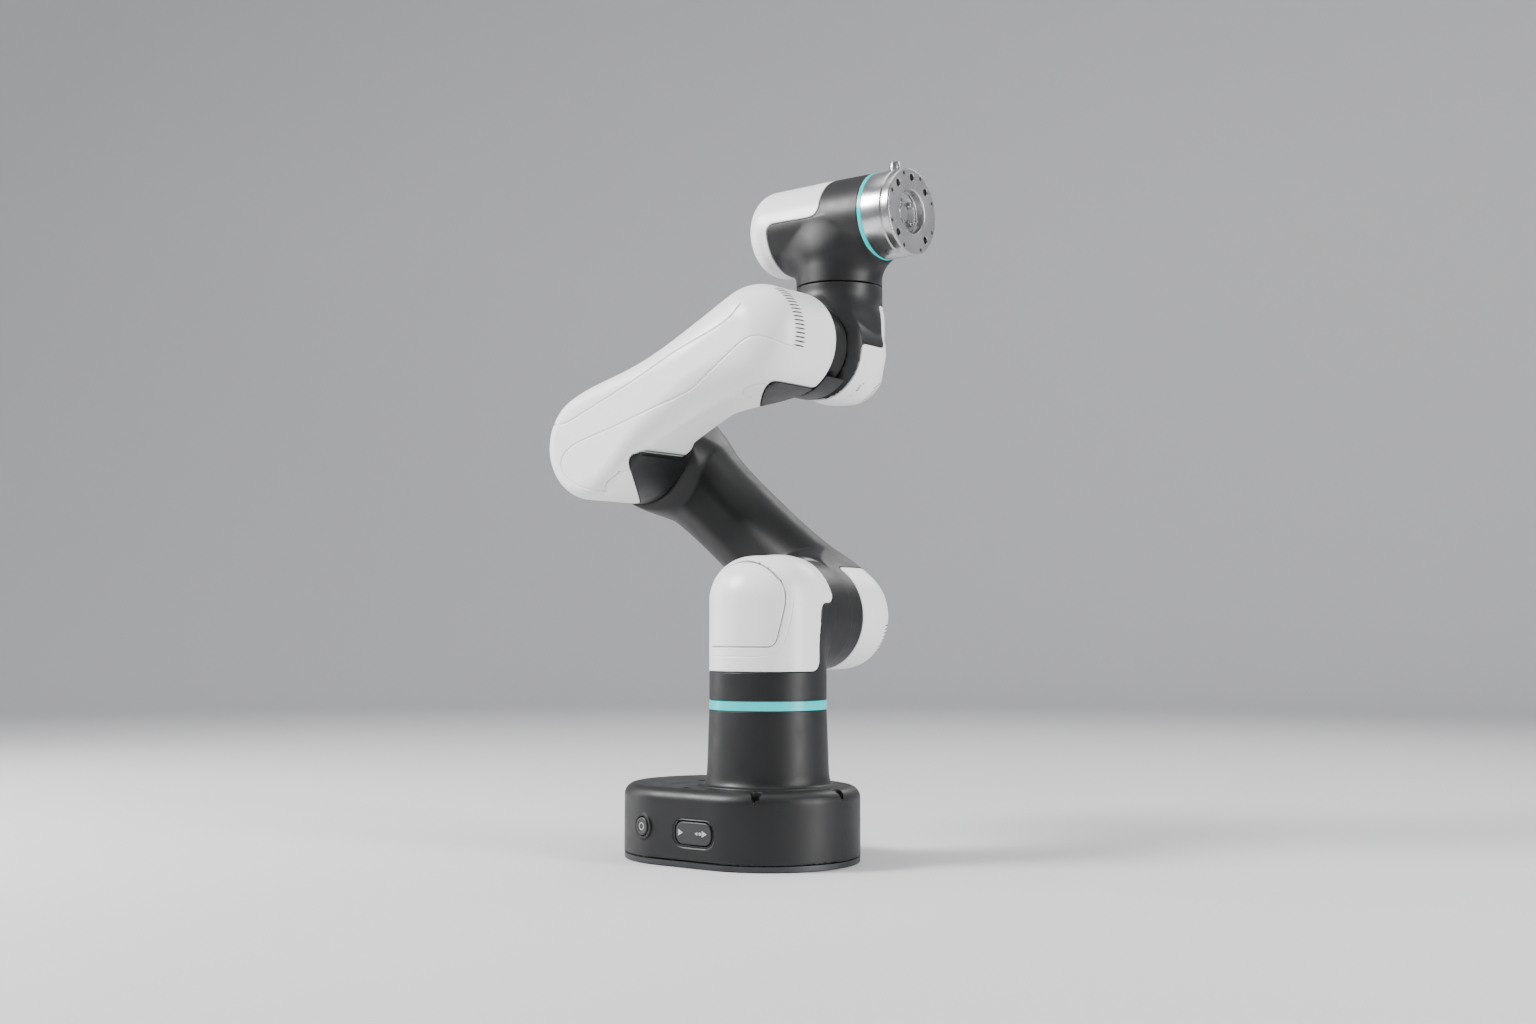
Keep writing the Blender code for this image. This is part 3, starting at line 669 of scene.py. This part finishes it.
def shoulder_region(p):
    """Where the white cover is: the near side, stepping out above the joint."""
    y, z = p[:, 1], p[:, 2]
    low = round_max(y - 5.4, COVER_LOW_Z - z, 8.0)
    high = round_max(y - 22.0, COVER_LOW_Z + 45.5 - z, 7.0)
    return round_min(low, high, 7.0)


def panel_region(p):
    """Distance round the column to the service panel's outline, on the near side only."""
    a, z = np.abs(p[:, 0]), p[:, 2]
    arc = COLUMN_RADIUS * np.arctan2(a, -np.minimum(p[:, 1], -0.1))
    side = (arc - 30.5 - (z - 143) * 0.25) * 0.97
    bottom = 142.9 - z
    crown = np.hypot(a, z - 163.5) - 35.5
    return np.maximum(round_max(round_max(side, bottom, 4.0), crown, 5.0), p[:, 1] + 2)


def shoulder_panel_field(p):
    return shell(shoulder_outer(p), panel_region(p))


def shoulder_cover_field(p):
    region = round_max(shoulder_region(p), SEAM_GAP - panel_region(p), SEAM_ROUND)
    outline = panel_region(p) - PANEL_LINE
    line = groove(np.where(p[:, 2] < 175, outline, 9), 0.7, 0.25)
    return shell(shoulder_outer(p), region, line)


def shoulder_housing_field(p):
    outer = shoulder_outer(p)
    gap = SEAM_GAP - shoulder_region(p)
    far = drum(p, J2, Y, 38.6, 10, 45, 0.5, 1.0)
    outer = round_min(outer, far, 1.5)
    casing = np.minimum(round_max(outer, gap, SEAM_ROUND), shoulder_outer(p) + SHELL + UNDER_SHELL)
    away = np.hypot(p[:, 0], p[:, 1])
    hollow = np.maximum(away - 33, p[:, 2] - 163.5)
    drive = drum(p, J2, Y, 33.4, -14, 60)
    return np.maximum(casing, -np.minimum(hollow, drive))


def build_shoulder():
    low, high = (-41, -41, 106), (41, 46, 205)

    def seams(p):
        return np.minimum(np.abs(shoulder_region(p)), np.abs(panel_region(p)))

    def cover_lines(p):
        return np.minimum(seams(p), np.abs(panel_region(p) - PANEL_LINE))

    cover = field_mesh("shoulder_cover_shell", shoulder_cover_field, low, high, cover_lines)
    dress(cover, WHITE, "shoulder", ["shoulder_cover"])
    panel = field_mesh("shoulder_panel_shell", shoulder_panel_field, low, high, seams)
    dress(panel, WHITE, "shoulder", ["shoulder_panel"])

    def housing_edges(p):
        far = np.abs(p[:, 1] - 45)
        foot = np.where(np.hypot(p[:, 0], p[:, 1]) > 36, np.abs(p[:, 2] - RING_HIGH), 9)
        return np.minimum.reduce([np.abs(shoulder_region(p)), far, foot])

    housing = field_mesh("shoulder_housing_casting", shoulder_housing_field, low, high, housing_edges)
    dress(housing, CHARCOAL, "shoulder", ["shoulder_housing"])


# Upper arm ------------------------------------------------------------------------------------------

UPPER_MID_Y = 79.0
UPPER_TUBE_Y = 52.6


def upper_outer(p):
    plan = link_plan(p, J2, J3, 37.4, 39.5, 32.0, 32.0, 42, 42)
    disc = np.maximum(near_joint(p, J2, 37.5, 14), near_joint(p, J3, 39.5, 14))
    near = UPPER_TUBE_Y - (UPPER_TUBE_Y - UPPER_NEAR_Y) * disc
    return between(plan, p[:, 1], near, UPPER_FAR_Y, 1.2 + 23 * (1 - disc), 26 - 4 * disc)


def end_region(p, joint, along):
    """Where an end cap is: beyond the cap's edge across the joint and up to a step along the arm."""
    return round_max(UPPER_CAP_Y - p[:, 1], (p - joint) @ along - 9, 2.5)


def slits(name, field, joint, angles, low_y, high_y, body, width=1.0, slant=0.0):
    """A fan of narrow dark strips of painted shade, standing for vent slits, laid flush in a rounded face, at
    the given angles round a joint.
    """
    points, faces = [], []
    steps = 10
    for angle in angles:
        first = len(points)
        for step in range(steps + 1):
            share = step / steps
            half = width / 2 * min(1, 0.35 + 4 * min(share, 1 - share))
            turn = math.radians(angle) + slant * (share - 0.5)
            out = np.array([math.cos(turn), 0, math.sin(turn)])
            across = np.array([-out[2], 0, out[0]])
            middle = joint + 36 * out
            middle[1] = low_y + (high_y - low_y) * share
            points += [middle - half * across, middle + half * across]
        for step in range(steps):
            a = first + 2 * step
            faces.append((a, a + 1, a + 3, a + 2))
    points = settle(field, np.array(points), 2.0, 8)
    out = slope(field, points)
    out /= np.linalg.norm(out, axis=1)[:, None]
    mesh = bpy.data.meshes.new(name)
    # The strips sit just outside the surface as painted shade, not as cut slits.
    mesh.from_pydata(((points + 0.06 * out) * MM).tolist(), [], faces)
    mesh.update()
    obj = added(name, mesh)
    thick = obj.modifiers.new("thickness", "SOLIDIFY")
    thick.thickness = 0.5 * MM
    thick.offset = -1 if mesh.polygons[0].normal @ Vector(out[0]) > 0 else 1
    dress(obj, VENT_SLIT_SHADE, body, ())


def build_upper_arm():
    low = (J3[0] - 42, 44, J2[2] - 40)
    high = (J2[0] + 40, 106, J3[2] + 42)

    def cap_field(joint, along):
        return lambda p: shell(upper_outer(p), end_region(p, joint, along))

    def edge_of(joint, along):
        return lambda p: np.abs(end_region(p, joint, along))

    cap = field_mesh("shoulder_end_cap_shell", cap_field(J2, UPPER), (-40, 58, 122), (42, 106, 206),
                     edge_of(J2, UPPER))
    dress(cap, WHITE, "upper_arm", ["shoulder_end_cap"])
    cap = field_mesh("elbow_end_cap_shell", cap_field(J3, -UPPER), J3 + (-41, 58, -42), J3 + (41, 106, 42),
                     edge_of(J3, -UPPER))
    dress(cap, WHITE, "upper_arm", ["elbow_end_cap"])

    def casting_field(p):
        outer = upper_outer(p)
        caps = np.minimum(end_region(p, J2, UPPER), end_region(p, J3, -UPPER))
        casing = np.minimum(round_max(outer, SEAM_GAP - caps, SEAM_ROUND), outer + SHELL + UNDER_SHELL)
        drive = drum(p, J3, Y, 31.3, 40, 92)
        hub = drum(p, J2, Y, 26.4, 40, 52.4)
        along, up, y = arm_place(p, J2, UPPER)
        hollow = np.maximum(np.hypot(up, y - UPPER_MID_Y) - 21.3, np.abs(along - 102) - 94)
        return np.maximum(casing, -np.minimum(np.minimum(drive, hub), hollow))

    def casting_edges(p):
        caps = np.minimum(np.abs(end_region(p, J2, UPPER)), np.abs(end_region(p, J3, -UPPER)))
        return np.minimum(caps, np.abs(p[:, 1] - UPPER_NEAR_Y))

    slits("shoulder_cap_vent_shade", upper_outer, J2, np.arange(-48, -6, 4.2), 88, 97, "upper_arm")
    casting = field_mesh("upper_arm_frame", casting_field, low, high, casting_edges)
    dress(casting, CHARCOAL, "upper_arm", ["upper_arm_casting"])


# Forearm --------------------------------------------------------------------------------------------

FORE_NEAR_Y = span("forearm_cover", 1)[0]
FORE_FAR_Y = 38.0
FORE_RIM_Y = 49.0
FORE_END_Y = span("forearm_frame", 1)[1]
UPPER_LINE = smooth_path([(-24, 31), (-8, 22), (20, 19), (62, 15.5), (105, 14.5), (150, 11), (167, 16)])
LOWER_LOOP = smooth_path([(0, -38), (-15, -27), (-23, -13), (-22, -1), (-6, 3), (30, -4), (70, -11),
                          (100, -15), (125, -13), (156, -9), (170, -12), (180, -24), (179, -32)])
FOOT_LINE = smooth_path([(0, -38), (10, -34), (50, -32), (85, -34), (125, -31), (142, -32), (164, -40)])


def forearm_outer(p):
    plan = link_plan(p, J3, J4, 39.5, 37.0, 30.0, 26.5, 46, 32)
    along, _, y = arm_place(p, J3, FORE)
    elbow, wrist = near_joint(p, J3, 39.5, 22.0), near_joint(p, J4, 37.0, 28.0)
    near = FORE_NEAR_Y + 4 * rise(along, FORE_LENGTH - 60, FORE_LENGTH)
    far = (FORE_FAR_Y + (UPPER_NEAR_Y - JOINT_GAP - FORE_FAR_Y) * elbow
           + (FORE_RIM_Y - FORE_FAR_Y) * wrist)
    near_round = 14 + 15 * rise(along, 20, FORE_LENGTH)
    far_round = 14 - 13 * elbow - 11 * wrist
    return between(plan, y, near, far, near_round, far_round)


def forearm_region(p):
    """Where the white cover is: the near side, short of the elbow's far edge and the wrist's underside."""
    x, y, z = p[:, 0], p[:, 1], p[:, 2]
    elbow = y - 37.0
    wrist = round_max(y - FORE_RIM_Y - 1, J4[0] - 60 - x, 6.0)
    whole = round_min(elbow, wrist, 6.0)
    below = round_max((J4[0] + 9 - 0.85 * y - x) / 1.3, z - J4[2] + 32, 9.0)
    along, up, _ = arm_place(p, J3, FORE)
    slant = (22 - 1.25 * (along + 2) - y) / 1.6
    wedge = np.maximum(round_max(up + 27.5, slant, 5.0), along - 72)
    return round_max(round_max(whole, -below, 4.0), -wedge, 4.0)


def forearm_lines(p):
    """Distance to the fine lines in the cover's near face."""
    along, up, _ = arm_place(p, J3, FORE)
    lines = [path_distance(along, up, line) for line in (UPPER_LINE, LOWER_LOOP, FOOT_LINE)]
    return np.where(p[:, 1] < 12, np.min(lines, axis=0), 9.0)


def forearm_cover_field(p):
    return shell(forearm_outer(p), forearm_region(p), groove(forearm_lines(p), 1.0, 0.75))


def forearm_frame_field(p):
    outer = forearm_outer(p)
    gap = SEAM_GAP - forearm_region(p)
    casing = np.minimum(round_max(outer, gap, SEAM_ROUND), outer + SHELL + UNDER_SHELL)
    neck = drum(p, J4, Y, 29.6, 20, FORE_END_Y, 0.5, 1.0)
    fairing = drum(p, J4, Y, 37.0, 30, FORE_END_Y, 4.0, 1.5)
    fairing = round_max(fairing, p[:, 2] - J4[2] + 24, 1.0)
    fairing = np.maximum(fairing, FORE_RIM_Y + 0.4 - p[:, 1])
    casing = np.minimum(np.minimum(casing, neck), fairing)
    along, up, y = arm_place(p, J3, FORE)
    hollow = np.maximum(np.hypot(up, y - 8.5) - 21, np.abs(along - 77.5) - 77.5)
    drives = np.minimum(drum(p, J4, Y, 26.3, -8, 80), drum(p, J3, Y, 26.4, 37.8, 60))
    return np.maximum(casing, -np.minimum(drives, hollow))


def build_forearm():
    low = (J3[0] - 42, FORE_NEAR_Y, J3[2] - 42)
    high = (J4[0] + 40, FORE_END_Y, J4[2] + 40)

    def cover_fine(p):
        return np.minimum(np.abs(forearm_region(p)), forearm_lines(p))

    cover = field_mesh("forearm_cover_shell", forearm_cover_field, low, high, cover_fine)
    dress(cover, WHITE, "forearm", ["forearm_cover"])

    slits("forearm_vent_shade", forearm_outer, J4, np.arange(-15, 62, 4.6), 1.0, 11.0, "forearm")

    def frame_fine(p):
        return np.minimum(np.abs(forearm_region(p)), np.abs(p[:, 1] - FORE_END_Y))

    casting = field_mesh("forearm_frame_casting", forearm_frame_field, low, high, frame_fine)
    dress(casting, CHARCOAL, "forearm", ["forearm_frame"])


# Wrists ---------------------------------------------------------------------------------------------

WRIST_NEAR_Y = span("wrist_1_housing", 1)[0]
WRIST_CAP_Y = 79.8
WRIST_ACROSS_Y = 125.0
WRIST_RADIUS = 31.7


def wrist_1_outer(p):
    away, y = turned(p, J4, Y)
    widen = 36.8 - 6.8 * np.clip((WRIST_CAP_Y - y) / 8, 0, 1) ** 1.3
    across = np.maximum(round_max(away - widen, y - WRIST_ACROSS_Y, 22), WRIST_NEAR_Y - y)
    centre = np.array([J5[0], J5[1], 0])
    upright = drum(p, centre, Z, WRIST_RADIUS, J4[2] - 36.8, J5[2] - JOINT_GAP, 24, SEAM_ROUND)
    return round_min(across, upright, 2 + 12 * rise(p[:, 2], J4[2] + 4, J4[2] + 30))


def wrist_1_region(p):
    y, z = p[:, 1], p[:, 2]
    low = round_max(WRIST_CAP_Y - y, z - J4[2] - 1.7, 4.0)
    high = round_max(109 - y, z - 390, 3.0)
    return round_min(low, high, 4.0)


def wrist_1_cap_field(p):
    return shell(wrist_1_outer(p), wrist_1_region(p))


def wrist_1_housing_field(p):
    outer = wrist_1_outer(p)
    casing = round_max(outer, SEAM_GAP - wrist_1_region(p), SEAM_ROUND)
    centre = np.array([J5[0], J5[1], 0])
    hollow = [drum(p, J4, Y, 24, 84, 116), drum(p, centre, Z, 27.4, 345, 420), drum(p, J4, Y, 20.4, 60, 79)]
    return np.maximum(casing, -np.min(hollow, axis=0))


def wrist_2_outer(p):
    x = p[:, 0]
    drop = np.clip((-10 - x) / 69, 0, 1)
    centred = p - np.array([0, J6[1], 0]) - np.stack([0 * x, 0 * x, J6[2] - 2.4 * drop], 1)
    away = np.hypot(centred[:, 1], centred[:, 2])
    across = round_max(away - WRIST_RADIUS - 1.2 * drop, WRIST_BACK_X - x, 16)
    across = round_max(across, x - span("wrist_2_housing", 0)[1], SEAM_ROUND)
    centre = np.array([J5[0], J5[1], 0])
    upright = drum(p, centre, Z, WRIST_RADIUS, J5[2] + JOINT_GAP, J6[2], SEAM_ROUND, 0.5)
    return round_min(across, upright, 2 + 13 * rise(-p[:, 2], 3 - J6[2], 28 - J6[2]))


def wrist_2_region(p):
    x, z = p[:, 0], p[:, 2]
    rear = x + 57
    above = round_max(J6[2] - z, x + 10, 8.0)
    return round_min(rear, above, 7.0)


def wrist_2_cap_field(p):
    return shell(wrist_2_outer(p), wrist_2_region(p))


def wrist_2_housing_field(p):
    outer = wrist_2_outer(p)
    casing = round_max(outer, SEAM_GAP - wrist_2_region(p), SEAM_ROUND)
    centre = np.array([J5[0], J5[1], 0])
    hollow = np.minimum(drum(p, J6, X, 27.4, -62, 60), drum(p, centre, Z, 20.4, 400, 412))
    return np.maximum(casing, -hollow)


def build_wrists():
    low, high = (J4[0] - 38, WRIST_NEAR_Y, J4[2] - 38), (J4[0] + 38, J5[1] + 32, J5[2])

    def fine_1(p):
        return np.minimum(np.abs(wrist_1_region(p)), np.abs(p[:, 2] - J5[2]))

    cap = field_mesh("wrist_1_cap_shell", wrist_1_cap_field, low, high, fine_1)
    dress(cap, WHITE, "wrist_1", ["wrist_1_cap"])
    slits("wrist_1_vent_shade", wrist_1_outer, J4, np.arange(-66, -40, 6.0), 108, 117, "wrist_1", 0.9, 0.12)
    housing = field_mesh("wrist_1_casting", wrist_1_housing_field, low, high, fine_1)
    dress(housing, CHARCOAL, "wrist_1", ["wrist_1_housing"])
    low = (WRIST_BACK_X - 1, J6[1] - 34, J5[2])
    high = (span("wrist_2_housing", 0)[1], J6[1] + 34, J6[2] + 34)

    def fine_2(p):
        ends = np.minimum(np.abs(p[:, 2] - J5[2]), np.abs(p[:, 0] - high[0]))
        return np.minimum(np.abs(wrist_2_region(p)), ends)

    cap = field_mesh("wrist_2_cap_shell", wrist_2_cap_field, low, high, fine_2)
    dress(cap, WHITE, "wrist_2", ["wrist_2_cap"])
    housing = field_mesh("wrist_2_casting", wrist_2_housing_field, low, high, fine_2)
    dress(housing, CHARCOAL, "wrist_2", ["wrist_2_housing"])
    ring_low, ring_high = span("wrist_light_ring", 0)
    profile = [(24, ring_low), (WRIST_RADIUS, ring_low), (WRIST_RADIUS, ring_high), (24, ring_high)]
    ring = lathe("wrist_light_band", profile, (0, J6[1], J6[2]), (1, 0, 0), closed=True)
    dress(ring, CYAN, "wrist_2", ["wrist_light_ring"])


# Tool flange ----------------------------------------------------------------------------------------

BOLT_CIRCLE = 25.0
BOLT_AND_PIN_DEGREES = (45, 135, 225, 315, 90)
RIM_CIRCLE = 28.2
RECESS_CIRCLE = 9.5


def on_flange(circle, degrees, x):
    """A point on a circle round the flange's axis, in a plane across it."""
    angle = math.radians(degrees)
    return (x, J6[1] + circle * math.cos(angle), J6[2] + circle * math.sin(angle))


def build_flange():
    centre, face, near = (0, J6[1], J6[2]), TOOL_FACE_X, TOOL_NEAR_X
    profile = [(0, near + 6), (20.4, near + 6), (20.4, near), (31.5, near), (31.5, 43.3), (30.8, 44.1),
               (30.8, 44.9), (31.3, 45.3), (31.3, face - 0.9), (30.5, face), (16.6, face),
               (15.75, face - 0.8), (15.75, 45.0), (14.6, 45.0), (14.6, 43.5), (6, 43.5), (5.4, 43.9),
               (0, 43.9)]
    body = lathe("flange_casting", bevelled(profile, 0.22), centre, (1, 0, 0))
    cutters = []
    for degrees in BOLT_AND_PIN_DEGREES:
        profile = [(0, 41.5), (2.6, 41.5), (2.6, face - 0.5), (3.1, face + 0.02), (3.1, 60), (0, 60)]
        at = on_flange(BOLT_CIRCLE, degrees, 0)
        cutters.append(lathe("hole", profile, at, (1, 0, 0), 40))
    for step in range(8):
        profile = [(0, 49.4), (1.45, 49.4), (1.45, 60), (0, 60)]
        at = on_flange(RIM_CIRCLE, 22.5 + 45 * step, 0)
        cutters.append(lathe("hole", profile, at, (1, 0, 0), 24))
    stem = (36.0, J6[1], J6[2])
    cutters.append(lathe("hole", [(0, 27), (4.3, 27), (4.3, 50), (0, 50)], stem, (0, 0, 1), 40))
    dress(cut(body, cutters), ALUMINIUM, "tool_flange", ["flange_body"])
    for step in range(8):
        profile = [(0, 49.5), (1.3, 49.5), (1.3, 50.5), (0.7, 50.5), (0.7, 50.0), (0, 50.0)]
        at = on_flange(RIM_CIRCLE, 22.5 + 45 * step, 0)
        screw = lathe(f"flange_screw_{step + 1}", bevelled(profile, 0.12), at, (1, 0, 0), 24)
        dress(screw, MOTOR, "tool_flange", ())
    for index in range(4):
        profile = [(0, 43.8), (2.6, 43.8), (2.6, 46.4), (1.35, 46.4), (1.35, 45.0), (0, 45.0)]
        at = on_flange(RECESS_CIRCLE, 45 + 90 * index, 0)
        screw = lathe(f"recess_screw_head_{index + 1}", bevelled(profile, 0.25), at, (1, 0, 0), 32)
        dress(screw, STEEL, "tool_flange", [f"recess_screw_{index + 1}"])

    # The round connector on the flange's top, with its threaded collar and pins.
    profile = [(0, 28), (4.0, 28), (4.0, 32.8), (3.75, 33.2), (3.75, 33.8), (3.9, 34.0), (3.45, 38.2),
               (3.2, 38.6), (2.6, 38.6), (2.5, 34.5), (0, 34.5)]
    dress(lathe("tool_connector_socket", profile, stem, (0, 0, 1), 48), STEEL, "tool_flange",
          ["tool_connector"])
    for pin in range(4):
        angle = math.radians(45 + 90 * pin)
        at = (stem[0] + 1.1 * math.cos(angle), stem[1] + 1.1 * math.sin(angle), stem[2])
        profile = bevelled([(0, 34.4), (0.25, 34.4), (0.25, 37.6), (0, 37.8)], 0.1)
        piece = lathe(f"connector_pin_{pin + 1}", profile, at, (0, 0, 1), 12)
        dress(piece, STEEL, "tool_flange", ())


def finish_cad_nodes():
    """Materials, and small bevels, for the CAD nodes that stay."""
    looks = {"motor": MOTOR, "gear": STEEL, "hub": STEEL, "lan_port": STEEL, "rear_panel": ZINC,
             "controller_board": GREEN, "io_terminal": GREEN, "power_inlet": BLACK,
             "emergency_stop_socket": BLACK}
    for name, node in frame["nodes"].items():
        if node.hide_render:
            continue
        chosen = [look for word, look in looks.items() if word in name]
        for slot in node.material_slots:
            slot.material = chosen[0] if chosen else CHARCOAL
        if name in ("rear_panel", "io_terminal", "lan_port_1", "lan_port_2", "controller_board"):
            bevel = node.modifiers.new("edges", "BEVEL")
            bevel.width = 0.3 * MM
            bevel.segments = 2
            bevel.limit_method = "ANGLE"


# Stage ----------------------------------------------------------------------------------------------

CAMERA_AZIMUTH = math.radians(37.6)
CAMERA_TILT = math.radians(93.87)
CAMERA_AWAY = 1.18267
CAMERA_HEIGHT = 0.15386
CAMERA_LENS = 40.89


def add_camera():
    data = bpy.data.cameras.new("camera")
    data.sensor_width = 36.0
    data.lens = CAMERA_LENS
    camera = added("camera", data)
    camera.location = (CAMERA_AWAY * math.sin(CAMERA_AZIMUTH), -CAMERA_AWAY * math.cos(CAMERA_AZIMUTH),
                       CAMERA_HEIGHT)
    camera.rotation_euler = (CAMERA_TILT, 0, CAMERA_AZIMUTH)
    bpy.context.scene.camera = camera


def add_area(name, place, target, size, power, colour=(1, 1, 1)):
    data = bpy.data.lights.new(name, "AREA")
    data.shape = "RECTANGLE"
    data.size, data.size_y = size
    data.energy = power
    data.color = colour
    light = added(name, data)
    light.location = place
    light.rotation_euler = (Vector(target) - Vector(place)).to_track_quat("-Z", "Y").to_euler()


def add_stage():
    """A pale floor that curves up into a wall all round, and soft lights."""
    curve = [math.radians(90 * step / 16) for step in range(17)]
    profile = [(0, 0), *[(2400 + 1200 * math.sin(t), 1200 - 1200 * math.cos(t)) for t in curve], (3600, 3400)]
    floor = lathe("floor", profile, (0, 0, -0.5), (0, 0, 1))
    floor.data.flip_normals()
    look = Look("pale floor", (0.62, 0.62, 0.63), roughness=0.7)
    look.vary_roughness(look.noise(3), 0.66, 0.74)
    floor.data.materials.append(look.material)
    world = bpy.data.worlds.new("studio")
    world.use_nodes = True
    world.node_tree.nodes["Background"].inputs["Color"].default_value = (0.9, 0.95, 1, 1)
    world.node_tree.nodes["Background"].inputs["Strength"].default_value = 0.25
    bpy.context.scene.world = world
    middle = (-0.03, 0.03, 0.26)
    add_area("key", (-0.95, -1.0, 1.2), middle, (0.5, 0.5), 58)
    add_area("right", (1.5, 0.2, 0.5), middle, (0.2, 1.3), 30)
    add_area("left", (-1.4, -0.3, 0.45), middle, (0.16, 1.2), 7)
    add_area("back", (0.0, 1.4, 1.2), middle, (0.7, 0.5), 8)
    add_area("floor_wash", (0, 0.4, 2.6), (0, 1.4, 0), (2.2, 2.2), 34)


build_base()
build_shoulder()
build_upper_arm()
build_forearm()
build_wrists()
build_flange()
finish_cad_nodes()
add_camera()
add_stage()
